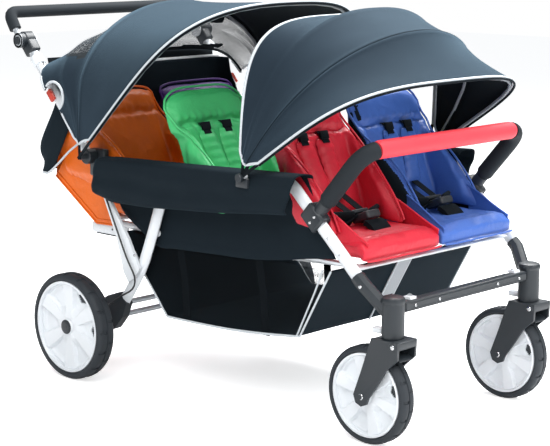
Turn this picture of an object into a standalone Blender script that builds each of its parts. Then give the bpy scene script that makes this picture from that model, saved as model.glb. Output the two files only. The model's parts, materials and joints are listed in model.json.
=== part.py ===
"""A six-seat stroller: three rows of two seats on a folding tube frame, four wheels, two hoods.

Metres, +Z up, +X forward. Every place below is measured from the front swivel axis (x = 0),
the middle plane (y = 0) and the ground (z = 0). The empty named front_axis carries all of it,
set ahead of the part's origin so that the origin lies under the middle of the stroller.
"""

from math import atan2, cos, degrees, hypot, pi, radians, sin, tan

import bmesh
import bpy
from mathutils import Matrix, Vector

# Overall layout
GAP = 0.0003
SIDES = {"right": -1, "left": 1}
SEAT_COLOURS = {
    ("front", "right"): (0.55, 0.03, 0.05),
    ("front", "left"): (0.05, 0.10, 0.40),
    ("middle", "right"): (0.08, 0.55, 0.20),
    ("middle", "left"): (0.80, 0.55, 0.05),
    ("rear", "right"): (0.80, 0.22, 0.02),
    ("rear", "left"): (0.13, 0.04, 0.28),
}

# Wheels
FRONT_WHEEL_RADIUS = 0.120
FRONT_TYRE_WIDTH = 0.045
FRONT_TYRE_DEPTH = 0.017
FRONT_RIM_RADIUS = FRONT_WHEEL_RADIUS - FRONT_TYRE_DEPTH
REAR_WHEEL_RADIUS = 0.145
REAR_TYRE_WIDTH = 0.053
REAR_TYRE_DEPTH = 0.020
REAR_RIM_RADIUS = REAR_WHEEL_RADIUS - REAR_TYRE_DEPTH
TYRE_STEPS = 24
TREAD_SHOULDER = 0.010
RIM_BARREL = 0.006
RIM_WEB = 0.014
HUB_RADIUS = 0.022
HUB_LENGTH = 0.050
AXLE_RADIUS = 0.006
RIM_SPOKES = 6
WINDOW_LENGTH = 0.024
WINDOW_WIDTH = 0.016

# Casters
SWIVEL_Y = 0.268
TRAIL = 0.066
SOCKET_TOP = 0.362
FORK_TOP_THICKNESS = 0.020
FORK_OVER_WHEEL = 0.008
SOCKET_BOTTOM = 2 * FRONT_WHEEL_RADIUS + FORK_OVER_WHEEL + FORK_TOP_THICKNESS
SOCKET_RADIUS = 0.027
FORK_ARM_THICKNESS = 0.007
FORK_REAR = -0.036
FORK_FRONT = 0.044
FORK_END = 0.024
FORK_SIDE_GAP = 0.006
LOCK_WIDTH = 0.020
LOCK_LENGTH = 0.030

# Side frame, in the plane of the rails
RAIL_Y = 0.303
TUBE_WIDE = 0.036
TUBE_THICK = 0.022
RAIL_REAR = (-1.015, 0.577)
RAIL_FRONT = (-0.292, 0.603)
LEG_END = (-0.080, 0.407)
BEND_RADIUS = 0.060
HINGE = (-1.015, 0.600)
HINGE_BLOCK = (0.060, 0.074)
REAR_AXLE_X = -1.017
REAR_LEG_ROUTE = ((-0.745, 0.545), (-0.762, 0.490), (-0.803, 0.387), (-0.840, 0.310), (REAR_AXLE_X + 0.098, 0.200))
STRUT_OUTLINE = (
    (-1.003, 0.548), (-0.972, 0.552), (-0.955, 0.500), (-0.874, 0.393),
    (-0.829, 0.317), (-0.842, 0.292), (-0.869, 0.275), (-0.893, 0.300), (-0.937, 0.399), (-0.986, 0.497),
)
STRUT_THICKNESS = 0.010

# Rear axle
REAR_WHEEL_Y = 0.394
AXLE_TUBE_RADIUS = 0.008
BRACE_AHEAD = 0.062
BRACE_X = REAR_AXLE_X + BRACE_AHEAD
BRACE_Z = 0.196
HUB_BRACKET_THICKNESS = 0.024
HUB_BRACKET_SHAPE = (
    (0.054, 0.224), (0.100, 0.240), (0.129, 0.213), (0.112, 0.172),
    (0.080, 0.136), (0.032, 0.118), (-0.018, 0.120), (-0.028, 0.160), (0.007, 0.195),
)
HUB_BRACKET_OUTLINE = tuple((REAR_AXLE_X + x, z) for x, z in HUB_BRACKET_SHAPE)

# Crossbar between the casters
CROSSBAR_Z = 0.337
CROSSBAR_DEPTH = 0.030
CROSSBAR_HEIGHT = 0.026

# Handle
UPRIGHT_Y = 0.328
UPRIGHT_RADIUS = 0.0130
ADJUSTER = (-1.273, 0.898)
ADJUSTER_RADIUS = 0.021
ADJUSTER_WIDTH = 0.020
HANDLE_RISE = 0.075
HANDLE_BACK = 0.050
GRIP_RADIUS = 0.0165
HANDLE_CORNER = 0.055
HANDLE_STUB = 0.030
CROSS_TUBE_CLEARANCE = 0.036
BUTTON_RADIUS = 0.011
BUTTON_STICK_OUT = 0.005
BUTTON_TRAVEL = 0.004
BUTTON_BODY = 0.004
KNUCKLE_WIDTH = 0.018
RELEASE_HEIGHT = 0.755
RELEASE_LENGTH = 0.034

# Bumper bar
CLAMP_FROM_BEND = 0.108
CLAMP_LENGTH = 0.060
CLAMP_SOCKET = 0.050
PEG_LENGTH = 0.024
PEG_RADIUS = 0.009
BUMPER_TOP = (-0.062, 0.700)
BUMPER_FOAM_RADIUS = 0.0220
BUMPER_ARM_RADIUS = 0.0185
BUMPER_CORNER = 0.060
BUMPER_RED_HALF = 0.250

# Seats
ROW_PITCH = 0.345
SEAT_PITCH = 69.5
REAR_SEAT_PITCH = 65.0
SEAT_HINGE = (-0.292, 0.484)
BACK_LENGTH = 0.325
SEAT_FOOT = 0.006
BACK_THICKNESS = 0.030
SEAT_HALF_GAP = 0.004
SEAT_OUTER = 0.281
HEAD_OUTER = 0.300
PAN_FRONT = -0.062
PAN_TOP = 0.474
PAN_THICKNESS = 0.040
CUSHION_CROWN = 0.012
WING_DEPTH = 0.125
WING_THICKNESS = 0.014
REAR_SEAT_BOOT = 0.135
SEAT_FRAME_TOP = 0.424
SEAT_TUBE_RADIUS = 0.010
SEAT_RAIL_Y = 0.262
SEAT_RAIL_REAR = -1.062
SEAT_FRONT_TUBE = -0.096
SEAT_REAR_TUBE = -0.790
BRACE_TOP_Y = 0.135
BRACE_FOOT_Y = 0.205

# Cloth
CLOTH = 0.003
PANEL_Y = 0.2815
FLAP_Y = 0.3460
HOOD_BOW_RADIUS = 0.0040
HOOD_BOW_Y = 0.3640
FRONT_CLOTH_OFFSET = 0.0078
REAR_CLOTH_OFFSET = 0.0095
FRONT_HOOD_PIVOT = (-0.400, 0.611)
HOOD_PLATE_LENGTH = 0.072
HOOD_PLATE_WIDTH = 0.008
HOOD_PLATE = 0.0024
COVER_REAR = -0.968
COVER_FRONT = -0.252
PANEL_BEHIND_LEG = 0.030
PANEL_BOTTOM = ((-0.252, 0.421), (-0.450, 0.392), (-0.560, 0.387), (-0.720, 0.380), (-0.790, 0.376), (-0.930, 0.455),
                (-0.960, 0.500))
FLAP_BOTTOM = ((-0.262, 0.580), (-0.285, 0.531), (-0.880, 0.488), (-0.965, 0.510), (-0.975, 0.552))
BASKET_HALF = PANEL_Y - GAP
BASKET_OUTLINE = ((-0.925, 0.399), (-0.848, 0.287), (-0.765, 0.192), (-0.520, 0.199), (-0.285, 0.222), (-0.184, 0.399))
BASKET_WALL = 0.004
CURTAIN_Y = 0.3130
CURTAIN_CORNER = 0.020
CURTAIN_WALL = ((-1.187, 0.822), (-1.178, 0.775), (-1.176, 0.712), (-1.262, 0.600), (-1.255, 0.543))
CURTAIN_FRONT = (-1.135, -1.125, -1.100, -1.155, -1.200)

MATERIALS = {
    "white_paint": ((0.83, 0.84, 0.86), 0.30, 0.0),
    "black_plastic": ((0.030, 0.035, 0.042), 0.45, 0.0),
    "dark_metal": ((0.060, 0.065, 0.070), 0.35, 0.7),
    "bright_metal": ((0.62, 0.64, 0.66), 0.30, 0.9),
    "tyre_foam": ((0.035, 0.040, 0.046), 0.80, 0.0),
    "rim_plastic": ((0.80, 0.82, 0.85), 0.40, 0.0),
    "foam_grip": ((0.030, 0.033, 0.037), 0.85, 0.0),
    "red_foam": ((0.80, 0.05, 0.07), 0.60, 0.0),
    "black_cloth": ((0.025, 0.030, 0.037), 0.90, 0.0),
    "grey_cloth": ((0.075, 0.090, 0.110), 0.85, 0.0),
    "red_plastic": ((0.70, 0.04, 0.03), 0.40, 0.0),
    "cable_black": ((0.02, 0.02, 0.02), 0.50, 0.0),
}

for old in list(bpy.data.objects):
    bpy.data.objects.remove(old, do_unlink=True)

stroller = bpy.data.collections.new("six_seat_stroller")
cutters = bpy.data.collections.new("cutters")
bpy.context.scene.collection.children.link(stroller)
bpy.context.scene.collection.children.link(cutters)
cutters.hide_render = True

def material(name, colour=None):
    """A Principled material from the table above, or a leathercloth of the given colour."""
    if name in bpy.data.materials:
        return bpy.data.materials[name]
    base, roughness, metallic = MATERIALS.get(name, (colour, 0.35, 0.0))
    made = bpy.data.materials.new(name)
    made.use_nodes = True
    shader = made.node_tree.nodes["Principled BSDF"]
    shader.inputs["Base Color"].default_value = (*base, 1)
    shader.inputs["Roughness"].default_value = roughness
    shader.inputs["Metallic"].default_value = metallic
    made.diffuse_color = (*base, 1)
    return made


AXIS_TO_ORIGIN = (TRAIL - FRONT_WHEEL_RADIUS + HANDLE_BACK + GRIP_RADIUS - ADJUSTER[0]) / 2
front_axis = bpy.data.objects.new("front_axis", None)
front_axis.location = (AXIS_TO_ORIGIN, 0, 0)
stroller.objects.link(front_axis)


def finish(name, bm, finish_name, origin=(0, 0, 0), colour=None, collection=None, smooth=True):
    """Turns a bmesh in stroller places into a named object whose origin lies at the given point."""
    bmesh.ops.translate(bm, verts=bm.verts, vec=-Vector(origin))
    bmesh.ops.recalc_face_normals(bm, faces=bm.faces)
    mesh = bpy.data.meshes.new(name)
    bm.to_mesh(mesh)
    bm.free()
    if smooth:
        mesh.shade_smooth()
        mesh.set_sharp_from_angle(angle=radians(35))
    mesh.materials.append(material(finish_name, colour))
    obj = bpy.data.objects.new(name, mesh)
    obj.location = origin
    obj.parent = front_axis
    (collection or stroller).objects.link(obj)
    return obj


def cutter(name, bm):
    obj = finish(name, bm, "black_plastic", collection=cutters, smooth=False)
    obj.hide_render = True
    obj.display_type = "WIRE"
    return obj


def boolean(obj, other, operation="DIFFERENCE", solver="EXACT"):
    step = obj.modifiers.new(f"{operation.lower()}_{other.name}", "BOOLEAN")
    step.operation = operation
    step.object = other
    step.solver = solver


def add_cylinder(bm, start, end, radius, segments=16, end_radius=None):
    """A closed cylinder or cone between two points."""
    start, end = Vector(start), Vector(end)
    axis = end - start
    turn = axis.to_track_quat("Z", "Y").to_matrix().to_4x4()
    return bmesh.ops.create_cone(
        bm, cap_ends=True, segments=segments, radius1=radius,
        radius2=radius if end_radius is None else end_radius, depth=axis.length,
        matrix=Matrix.Translation((start + end) / 2) @ turn,
    )["verts"]


def add_box(bm, centre, size, pitch=0.0, bevel=0.0):
    """A box turned about Y by pitch degrees, which lifts its front end, with bevelled edges."""
    matrix = Matrix.Translation(centre) @ Matrix.Rotation(-radians(pitch), 4, "Y") @ Matrix.Diagonal((*size, 1))
    made = bmesh.ops.create_cube(bm, size=1, matrix=matrix)["verts"]
    if bevel:
        edges = {edge for vert in made for edge in vert.link_edges}
        bmesh.ops.bevel(bm, geom=list(edges), offset=bevel, segments=1, affect="EDGES", profile=0.5, material=-1)
    return made


def add_prism(bm, outline, y0, y1):
    """A flat outline in X and Z, extruded from y0 to y1."""
    face = bm.faces.new([bm.verts.new((x, y0, z)) for x, z in outline])
    made = bmesh.ops.extrude_face_region(bm, geom=[face])["geom"]
    moved = [item for item in made if isinstance(item, bmesh.types.BMVert)]
    bmesh.ops.translate(bm, verts=moved, vec=(0, y1 - y0, 0))


def rounded(points, radius, steps=4):
    """The points of a route with each inner corner replaced by an arc of the given radius."""
    points = [Vector(p) for p in points]
    route = [points[0]]
    for before, corner, after in zip(points, points[1:], points[2:]):
        a, b = (before - corner).normalized(), (after - corner).normalized()
        half = a.angle(b) / 2
        reach = min(radius / tan(half), 0.48 * (before - corner).length, 0.48 * (after - corner).length)
        centre = corner + (a + b).normalized() * reach / cos(half)
        p, q = corner + a * reach - centre, corner + b * reach - centre
        route += [centre + p.slerp(q, k / steps) * p.length / p.slerp(q, k / steps).length for k in range(steps + 1)]
    return route + [points[-1]]


def smooth_route(points, steps):
    """Points along a smooth curve through the given ones."""
    points = [Vector(p) for p in points]
    padded = [2 * points[0] - points[1], *points, 2 * points[-1] - points[-2]]
    route = []
    for a, b, c, d in zip(padded, padded[1:], padded[2:], padded[3:]):
        for k in range(steps):
            t = k / steps
            route.append(0.5 * ((2 * b) + (c - a) * t + (2 * a - 5 * b + 4 * c - d) * t**2
                                + (3 * b - a - 3 * c + d) * t**3))
    return route + [points[-1]]


def tube_mesh(points, radius, resolution=2):
    """The welded mesh of a round tube along points, from a curve with a bevel and filled caps."""
    curve = bpy.data.curves.new("route", "CURVE")
    curve.dimensions = "3D"
    curve.bevel_depth = radius
    curve.bevel_resolution = resolution
    curve.use_fill_caps = True
    spline = curve.splines.new("POLY")
    spline.points.add(len(points) - 1)
    for place, point in zip(spline.points, points):
        place.co = (*point, 1)
    carrier = bpy.data.objects.new("route", curve)
    stroller.objects.link(carrier)
    bpy.context.view_layer.update()
    graph = bpy.context.evaluated_depsgraph_get()
    mesh = bpy.data.meshes.new_from_object(carrier.evaluated_get(graph))
    bpy.data.objects.remove(carrier, do_unlink=True)
    bpy.data.curves.remove(curve)
    bm = bmesh.new()
    bm.from_mesh(mesh)
    bpy.data.meshes.remove(mesh)
    bmesh.ops.remove_doubles(bm, verts=bm.verts, dist=0.00002)
    return bm


def merge(bm, other):
    """Adds the faces of another bmesh to this one."""
    mesh = bpy.data.meshes.new("merge")
    other.to_mesh(mesh)
    other.free()
    bm.from_mesh(mesh)
    bpy.data.meshes.remove(mesh)


def union_of(name, pieces, finish_name, origin=(0, 0, 0), colour=None):
    """One object from overlapping closed bmeshes, joined by Boolean unions."""
    base = finish(name, pieces[0], finish_name, origin, colour)
    for k, piece in enumerate(pieces[1:]):
        boolean(base, cutter(f"{name}_joined_{k}", piece), "UNION")
    return base


def flat_tube(points, y):
    """A flat-sided tube along points of X and Z, in the plane of the given y."""
    bm = tube_mesh([(x, 0, z) for x, _, z in points], TUBE_WIDE / 2)
    bmesh.ops.scale(bm, verts=bm.verts, vec=(1, TUBE_THICK / TUBE_WIDE, 1))
    bmesh.ops.translate(bm, verts=bm.verts, vec=(0, y, 0))
    return bm


def turned(name, profile, centre, finish_name, steps):
    """A ring turned about Y through centre, from a closed profile of radius and offset along Y."""
    bm = bmesh.new()
    turn = pi / steps
    verts = [bm.verts.new((r / cos(turn) * sin(turn), y, -r)) for r, y in profile]
    edges = [bm.edges.new((verts[k], verts[(k + 1) % len(verts)])) for k in range(len(verts))]
    bmesh.ops.spin(bm, geom=verts + edges, cent=(0, 0, 0), axis=(0, 1, 0), angle=2 * pi,
                   steps=steps, use_merge=True)
    bmesh.ops.translate(bm, verts=bm.verts, vec=centre)
    return finish(name, bm, finish_name, centre)


def wheel(name, centre, radius, width, rim_radius):
    half, shoulder = width / 2, TREAD_SHOULDER
    tyre = (
        (rim_radius + GAP, -half + 0.004), (rim_radius + 0.006, -half), (radius - shoulder, -half),
        (radius - 0.003, -half + 0.006), (radius, -half + 0.015), (radius, half - 0.015),
        (radius - 0.003, half - 0.006), (radius - shoulder, half), (rim_radius + 0.006, half),
        (rim_radius + GAP, half - 0.004),
    )
    turned(f"{name}_tyre", tyre, centre, "tyre_foam", TYRE_STEPS)
    web, hub = RIM_WEB / 2, HUB_LENGTH / 2
    rim = (
        (AXLE_RADIUS + GAP, -hub), (HUB_RADIUS, -hub), (HUB_RADIUS + 0.004, -web),
        (rim_radius - RIM_BARREL - 0.004, -web), (rim_radius - RIM_BARREL, -half + 0.005),
        (rim_radius, -half + 0.005), (rim_radius, half - 0.005), (rim_radius - RIM_BARREL, half - 0.005),
        (rim_radius - RIM_BARREL - 0.004, web), (HUB_RADIUS + 0.004, web), (HUB_RADIUS, hub),
        (AXLE_RADIUS + GAP, hub),
    )
    body = turned(f"{name}_rim", rim, centre, "rim_plastic", TYRE_STEPS)
    windows = bmesh.new()
    window_at = (HUB_RADIUS + rim_radius - RIM_BARREL) / 2
    for k in range(RIM_SPOKES):
        turn = Matrix.Rotation(2 * pi * (k + 0.5) / RIM_SPOKES, 4, "Y")
        shape = Matrix.Diagonal((WINDOW_LENGTH, 3 * RIM_WEB, WINDOW_WIDTH, 1))
        bmesh.ops.create_cube(
            windows, size=1, matrix=Matrix.Translation(centre) @ turn @ Matrix.Translation((window_at, 0, 0)) @ shape
        )
    boolean(body, cutter(f"{name}_windows", windows))


def casters():
    for side, s in SIDES.items():
        y = s * SWIVEL_Y
        socket = bmesh.new()
        add_cylinder(socket, (0, y, SOCKET_BOTTOM), (0, y, SOCKET_TOP), SOCKET_RADIUS, 20)
        connector = bmesh.new()
        leg = Vector((LEG_END[0], s * RAIL_Y, LEG_END[1]))
        slope = (Vector((RAIL_FRONT[0], 0, RAIL_FRONT[1])) - Vector((LEG_END[0], 0, LEG_END[1]))).normalized()
        merge(connector, tube_mesh([leg - slope * GAP, leg - slope * 0.020, Vector((-0.004, y, 0.318))], 0.0175))
        union_of(f"caster_socket_{side}", [socket, connector], "black_plastic")

        top = SOCKET_BOTTOM - GAP
        arm_y = FRONT_TYRE_WIDTH / 2 + FORK_SIDE_GAP + FORK_ARM_THICKNESS / 2
        yoke = bmesh.new()
        add_box(yoke, ((FORK_FRONT + FORK_REAR) / 2, y, top - FORK_TOP_THICKNESS / 2),
                (FORK_FRONT - FORK_REAR, 2 * arm_y + FORK_ARM_THICKNESS, FORK_TOP_THICKNESS), bevel=0.003)
        low_x, low_z = -TRAIL, FRONT_WHEEL_RADIUS
        shape = [(FORK_REAR, top), (FORK_FRONT, top), (FORK_FRONT - 0.002, top - 0.042), (FORK_FRONT - 0.034, top - 0.070)]
        shape += [(low_x + x * FORK_END, low_z + z * FORK_END) for x, z in
                  ((2.04, 1.50), (0.92, -0.04), (0.67, -0.71), (0, -1), (-0.71, -0.71), (-1, 0.08), (0, 2.67))]
        arms = []
        for t in (-1, 1):
            arm = bmesh.new()
            add_prism(arm, shape, y + t * arm_y - FORK_ARM_THICKNESS / 2, y + t * arm_y + FORK_ARM_THICKNESS / 2)
            arms.append(arm)
        axle = bmesh.new()
        add_cylinder(axle, (-TRAIL, y - arm_y - 0.008, FRONT_WHEEL_RADIUS),
                     (-TRAIL, y + arm_y + 0.008, FRONT_WHEEL_RADIUS), AXLE_RADIUS, 12)
        union_of(f"caster_fork_{side}", [yoke, *arms, axle], "black_plastic", (0, y, top))

        lock = bmesh.new()
        hub_x = -SOCKET_RADIUS - GAP - LOCK_LENGTH / 2
        add_box(lock, (hub_x, y, SOCKET_BOTTOM + 0.012), (LOCK_LENGTH, LOCK_WIDTH, 0.014), bevel=0.002)
        finish(f"swivel_lock_{side}", lock, "rim_plastic", (-SOCKET_RADIUS, y, SOCKET_BOTTOM + 0.012))
        wheel(f"front_wheel_{side}", (-TRAIL, y, FRONT_WHEEL_RADIUS), FRONT_WHEEL_RADIUS,
              FRONT_TYRE_WIDTH, FRONT_RIM_RADIUS)

    bar = bmesh.new()
    reach = SWIVEL_Y - SOCKET_RADIUS - GAP
    add_box(bar, (0, 0, CROSSBAR_Z), (CROSSBAR_DEPTH, 2 * reach, CROSSBAR_HEIGHT), bevel=0.004)
    finish("front_crossbar", bar, "dark_metal")


def side_frames():
    for side, s in SIDES.items():
        y = s * RAIL_Y
        route = rounded([(*p[:1], 0, p[1]) for p in (RAIL_REAR, RAIL_FRONT, LEG_END)], BEND_RADIUS)
        block = bmesh.new()
        half_x, half_z = HINGE_BLOCK[0] / 2, HINGE_BLOCK[1] / 2
        add_box(block, (HINGE[0] + 0.012, y, HINGE[1] - 0.018), (2 * half_x, TUBE_THICK, 2 * half_z), bevel=0.004)
        pin = bmesh.new()
        pin_y = s * (HOOD_BOW_Y - HOOD_BOW_RADIUS - GAP)
        px, pz = FRONT_HOOD_PIVOT
        add_cylinder(pin, (px, y, pz), (px, pin_y, pz), 0.007, 12)
        post = bmesh.new()
        add_box(post, (px, y, pz - 0.009), (0.024, TUBE_THICK - 0.004, 0.032), bevel=0.002)
        union_of(f"side_rail_{side}", [flat_tube(route, y), block, post, pin], "white_paint")

        leg = flat_tube(smooth_route([(x, 0, z) for x, z in REAR_LEG_ROUTE], 3), y)
        finish(f"rear_leg_{side}", leg, "white_paint")

        strut = bmesh.new()
        inner = RAIL_Y + TUBE_THICK / 2 + GAP
        add_prism(strut, STRUT_OUTLINE, s * inner, s * (inner + STRUT_THICKNESS))
        finish(f"rear_strut_{side}", strut, "white_paint")


def rear_axle():
    bracket_in = RAIL_Y - TUBE_THICK / 2
    for side, s in SIDES.items():
        bracket = bmesh.new()
        add_prism(bracket, HUB_BRACKET_OUTLINE, s * bracket_in, s * (bracket_in + HUB_BRACKET_THICKNESS))
        stub = bmesh.new()
        stub_out = REAR_WHEEL_Y + HUB_LENGTH / 2 + 0.004
        add_cylinder(stub, (REAR_AXLE_X, s * (bracket_in + 0.004), REAR_WHEEL_RADIUS),
                     (REAR_AXLE_X, s * stub_out, REAR_WHEEL_RADIUS), AXLE_RADIUS, 12)
        collar = bmesh.new()
        collar_out = REAR_WHEEL_Y - HUB_LENGTH / 2 - 0.001
        add_cylinder(collar, (REAR_AXLE_X, s * (bracket_in + 0.008), REAR_WHEEL_RADIUS),
                     (REAR_AXLE_X, s * collar_out, REAR_WHEEL_RADIUS), 0.018, 16)
        body = union_of(f"hub_bracket_{side}", [bracket, collar, stub], "black_plastic")
        leg_room = flat_tube(smooth_route([(x, 0, z) for x, z in REAR_LEG_ROUTE], 3), s * RAIL_Y)
        bmesh.ops.scale(leg_room, verts=leg_room.verts, vec=(1, 1.03, 1.0),
                        space=Matrix.Translation((0, -s * RAIL_Y, 0)))
        for vert in leg_room.verts:
            vert.co += vert.normal * 0.0006
        boolean(body, cutter(f"leg_room_{side}", leg_room))
        wheel(f"rear_wheel_{side}", (REAR_AXLE_X, s * REAR_WHEEL_Y, REAR_WHEEL_RADIUS),
              REAR_WHEEL_RADIUS, REAR_TYRE_WIDTH, REAR_RIM_RADIUS)
    reach = bracket_in - GAP
    axle = bmesh.new()
    add_cylinder(axle, (REAR_AXLE_X, -reach, REAR_WHEEL_RADIUS), (REAR_AXLE_X, reach, REAR_WHEEL_RADIUS),
                 AXLE_TUBE_RADIUS, 12)
    brace = bmesh.new()
    add_cylinder(brace, (BRACE_X, -reach, BRACE_Z), (BRACE_X, reach, BRACE_Z), AXLE_TUBE_RADIUS, 12)
    webs = []
    slope = degrees(atan2(BRACE_Z - REAR_WHEEL_RADIUS, BRACE_X - REAR_AXLE_X))
    span = hypot(BRACE_Z - REAR_WHEEL_RADIUS, BRACE_X - REAR_AXLE_X)
    for s in (-1, 1):
        web = bmesh.new()
        middle = ((REAR_AXLE_X + BRACE_X) / 2, s * (reach - 0.030), (REAR_WHEEL_RADIUS + BRACE_Z) / 2)
        add_box(web, middle, (span, 0.005, 0.012), pitch=slope)
        webs.append(web)
    union_of("rear_axle_frame", [axle, brace, *webs], "bright_metal")


def upright_point(height):
    """The point of the upright's centre line at the given height, in X and Z."""
    share = (height - HINGE[1]) / (ADJUSTER[1] - HINGE[1])
    return HINGE[0] + share * (ADJUSTER[0] - HINGE[0]), height


def handle_frame():
    pivot = (HINGE[0], 0, HINGE[1])
    pieces = []
    for s in (-1, 1):
        y = s * UPRIGHT_Y
        tube = bmesh.new()
        add_cylinder(tube, (HINGE[0], y, HINGE[1]), (ADJUSTER[0], y, ADJUSTER[1]), UPRIGHT_RADIUS, 16)
        lug = bmesh.new()
        add_cylinder(lug, (HINGE[0], s * (RAIL_Y + TUBE_THICK / 2 + GAP), HINGE[1]),
                     (HINGE[0], y + s * UPRIGHT_RADIUS, HINGE[1]), 0.019, 16)
        disc = bmesh.new()
        inner = s * (UPRIGHT_Y - ADJUSTER_WIDTH)
        add_cylinder(disc, (ADJUSTER[0], inner, ADJUSTER[1]), (ADJUSTER[0], y, ADJUSTER[1]), ADJUSTER_RADIUS, 20)
        pin = bmesh.new()
        pin_end = s * (HOOD_BOW_Y - HOOD_BOW_RADIUS - GAP)
        add_cylinder(pin, (HINGE[0], y, HINGE[1]), (HINGE[0], pin_end, HINGE[1]), 0.008, 12)
        pieces += [tube, lug, disc, pin]
    cross = bmesh.new()
    seat_top = SEAT_HINGE[1] + (SEAT_FOOT + BACK_LENGTH) * sin(radians(REAR_SEAT_PITCH))
    cx, cz = upright_point(seat_top + CROSS_TUBE_CLEARANCE)
    add_cylinder(cross, (cx, -UPRIGHT_Y, cz), (cx, UPRIGHT_Y, cz), 0.010, 14)
    union_of("handle_frame", [pieces[0], cross, *pieces[1:]], "bright_metal", pivot)

    along = (Vector((ADJUSTER[0], 0, ADJUSTER[1])) - Vector((HINGE[0], 0, HINGE[1]))).normalized()
    for side, s in SIDES.items():
        release = bmesh.new()
        rx, rz = upright_point(RELEASE_HEIGHT)
        inner = UPRIGHT_Y + UPRIGHT_RADIUS + GAP
        add_box(release, (rx, s * (inner + 0.005), rz), (RELEASE_LENGTH, 0.010, 0.020),
                pitch=degrees(atan2(along.z, along.x)), bevel=0.002)
        finish(f"fold_release_{side}", release, "red_plastic", (rx, s * inner, rz))

    top = (ADJUSTER[0] - HANDLE_BACK, ADJUSTER[1] + HANDLE_RISE)
    knuckles = []
    for s in (-1, 1):
        knuckle = bmesh.new()
        add_cylinder(knuckle, (ADJUSTER[0], s * (UPRIGHT_Y + UPRIGHT_RADIUS + GAP), ADJUSTER[1]),
                     (ADJUSTER[0], s * (UPRIGHT_Y + UPRIGHT_RADIUS + GAP + KNUCKLE_WIDTH), ADJUSTER[1]), ADJUSTER_RADIUS, 20)
        knuckles.append(knuckle)
    ends = UPRIGHT_Y + UPRIGHT_RADIUS + GAP + KNUCKLE_WIDTH / 2
    share = HANDLE_STUB / hypot(HANDLE_BACK, HANDLE_RISE)
    low = (ADJUSTER[0] - HANDLE_BACK * share, ADJUSTER[1] + HANDLE_RISE * share)
    arms = []
    for s in (-1, 1):
        arm = bmesh.new()
        add_cylinder(arm, (ADJUSTER[0], s * ends, ADJUSTER[1]), (low[0], s * ends, low[1]), 0.0085, 12)
        arms.append(arm)
    route = rounded([(low[0], -ends, low[1]), (top[0], -ends, top[1]), (top[0], ends, top[1]),
                     (low[0], ends, low[1])], HANDLE_CORNER, 5)
    start = (Vector(route[1]) - Vector(route[0])).normalized()
    grip_route = [Vector(route[0]) + start * 0.012, *route[1:-1], Vector(route[-1])
                  + (Vector(route[-2]) - Vector(route[-1])).normalized() * 0.012]
    bar = union_of("handlebar", [tube_mesh(route, 0.0085), *knuckles, *arms], "bright_metal",
                   (ADJUSTER[0], 0, ADJUSTER[1]))
    face = UPRIGHT_Y + UPRIGHT_RADIUS + GAP + KNUCKLE_WIDTH
    for side, s in SIDES.items():
        bore = bmesh.new()
        bottom = face - BUTTON_BODY - BUTTON_TRAVEL - 2 * GAP
        add_cylinder(bore, (ADJUSTER[0], s * bottom, ADJUSTER[1]), (ADJUSTER[0], s * (face + 0.01), ADJUSTER[1]),
                     BUTTON_RADIUS + GAP, 16)
        boolean(bar, cutter(f"button_bore_{side}", bore))
        button = bmesh.new()
        add_cylinder(button, (ADJUSTER[0], s * (face - BUTTON_BODY), ADJUSTER[1]),
                     (ADJUSTER[0], s * (face + BUTTON_STICK_OUT), ADJUSTER[1]), BUTTON_RADIUS, 16)
        finish(f"adjuster_button_{side}", button, "black_plastic", (ADJUSTER[0], s * face, ADJUSTER[1]))
    grip = finish("handle_grip", tube_mesh(grip_route, GRIP_RADIUS), "foam_grip",
                  (ADJUSTER[0], 0, ADJUSTER[1]))
    long_route = [Vector(route[0]) - start * 0.02, *route[1:-1], Vector(route[-1])
                  - (Vector(route[-2]) - Vector(route[-1])).normalized() * 0.02]
    boolean(grip, cutter("grip_bore", tube_mesh(long_route, 0.0085 + GAP)))


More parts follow.
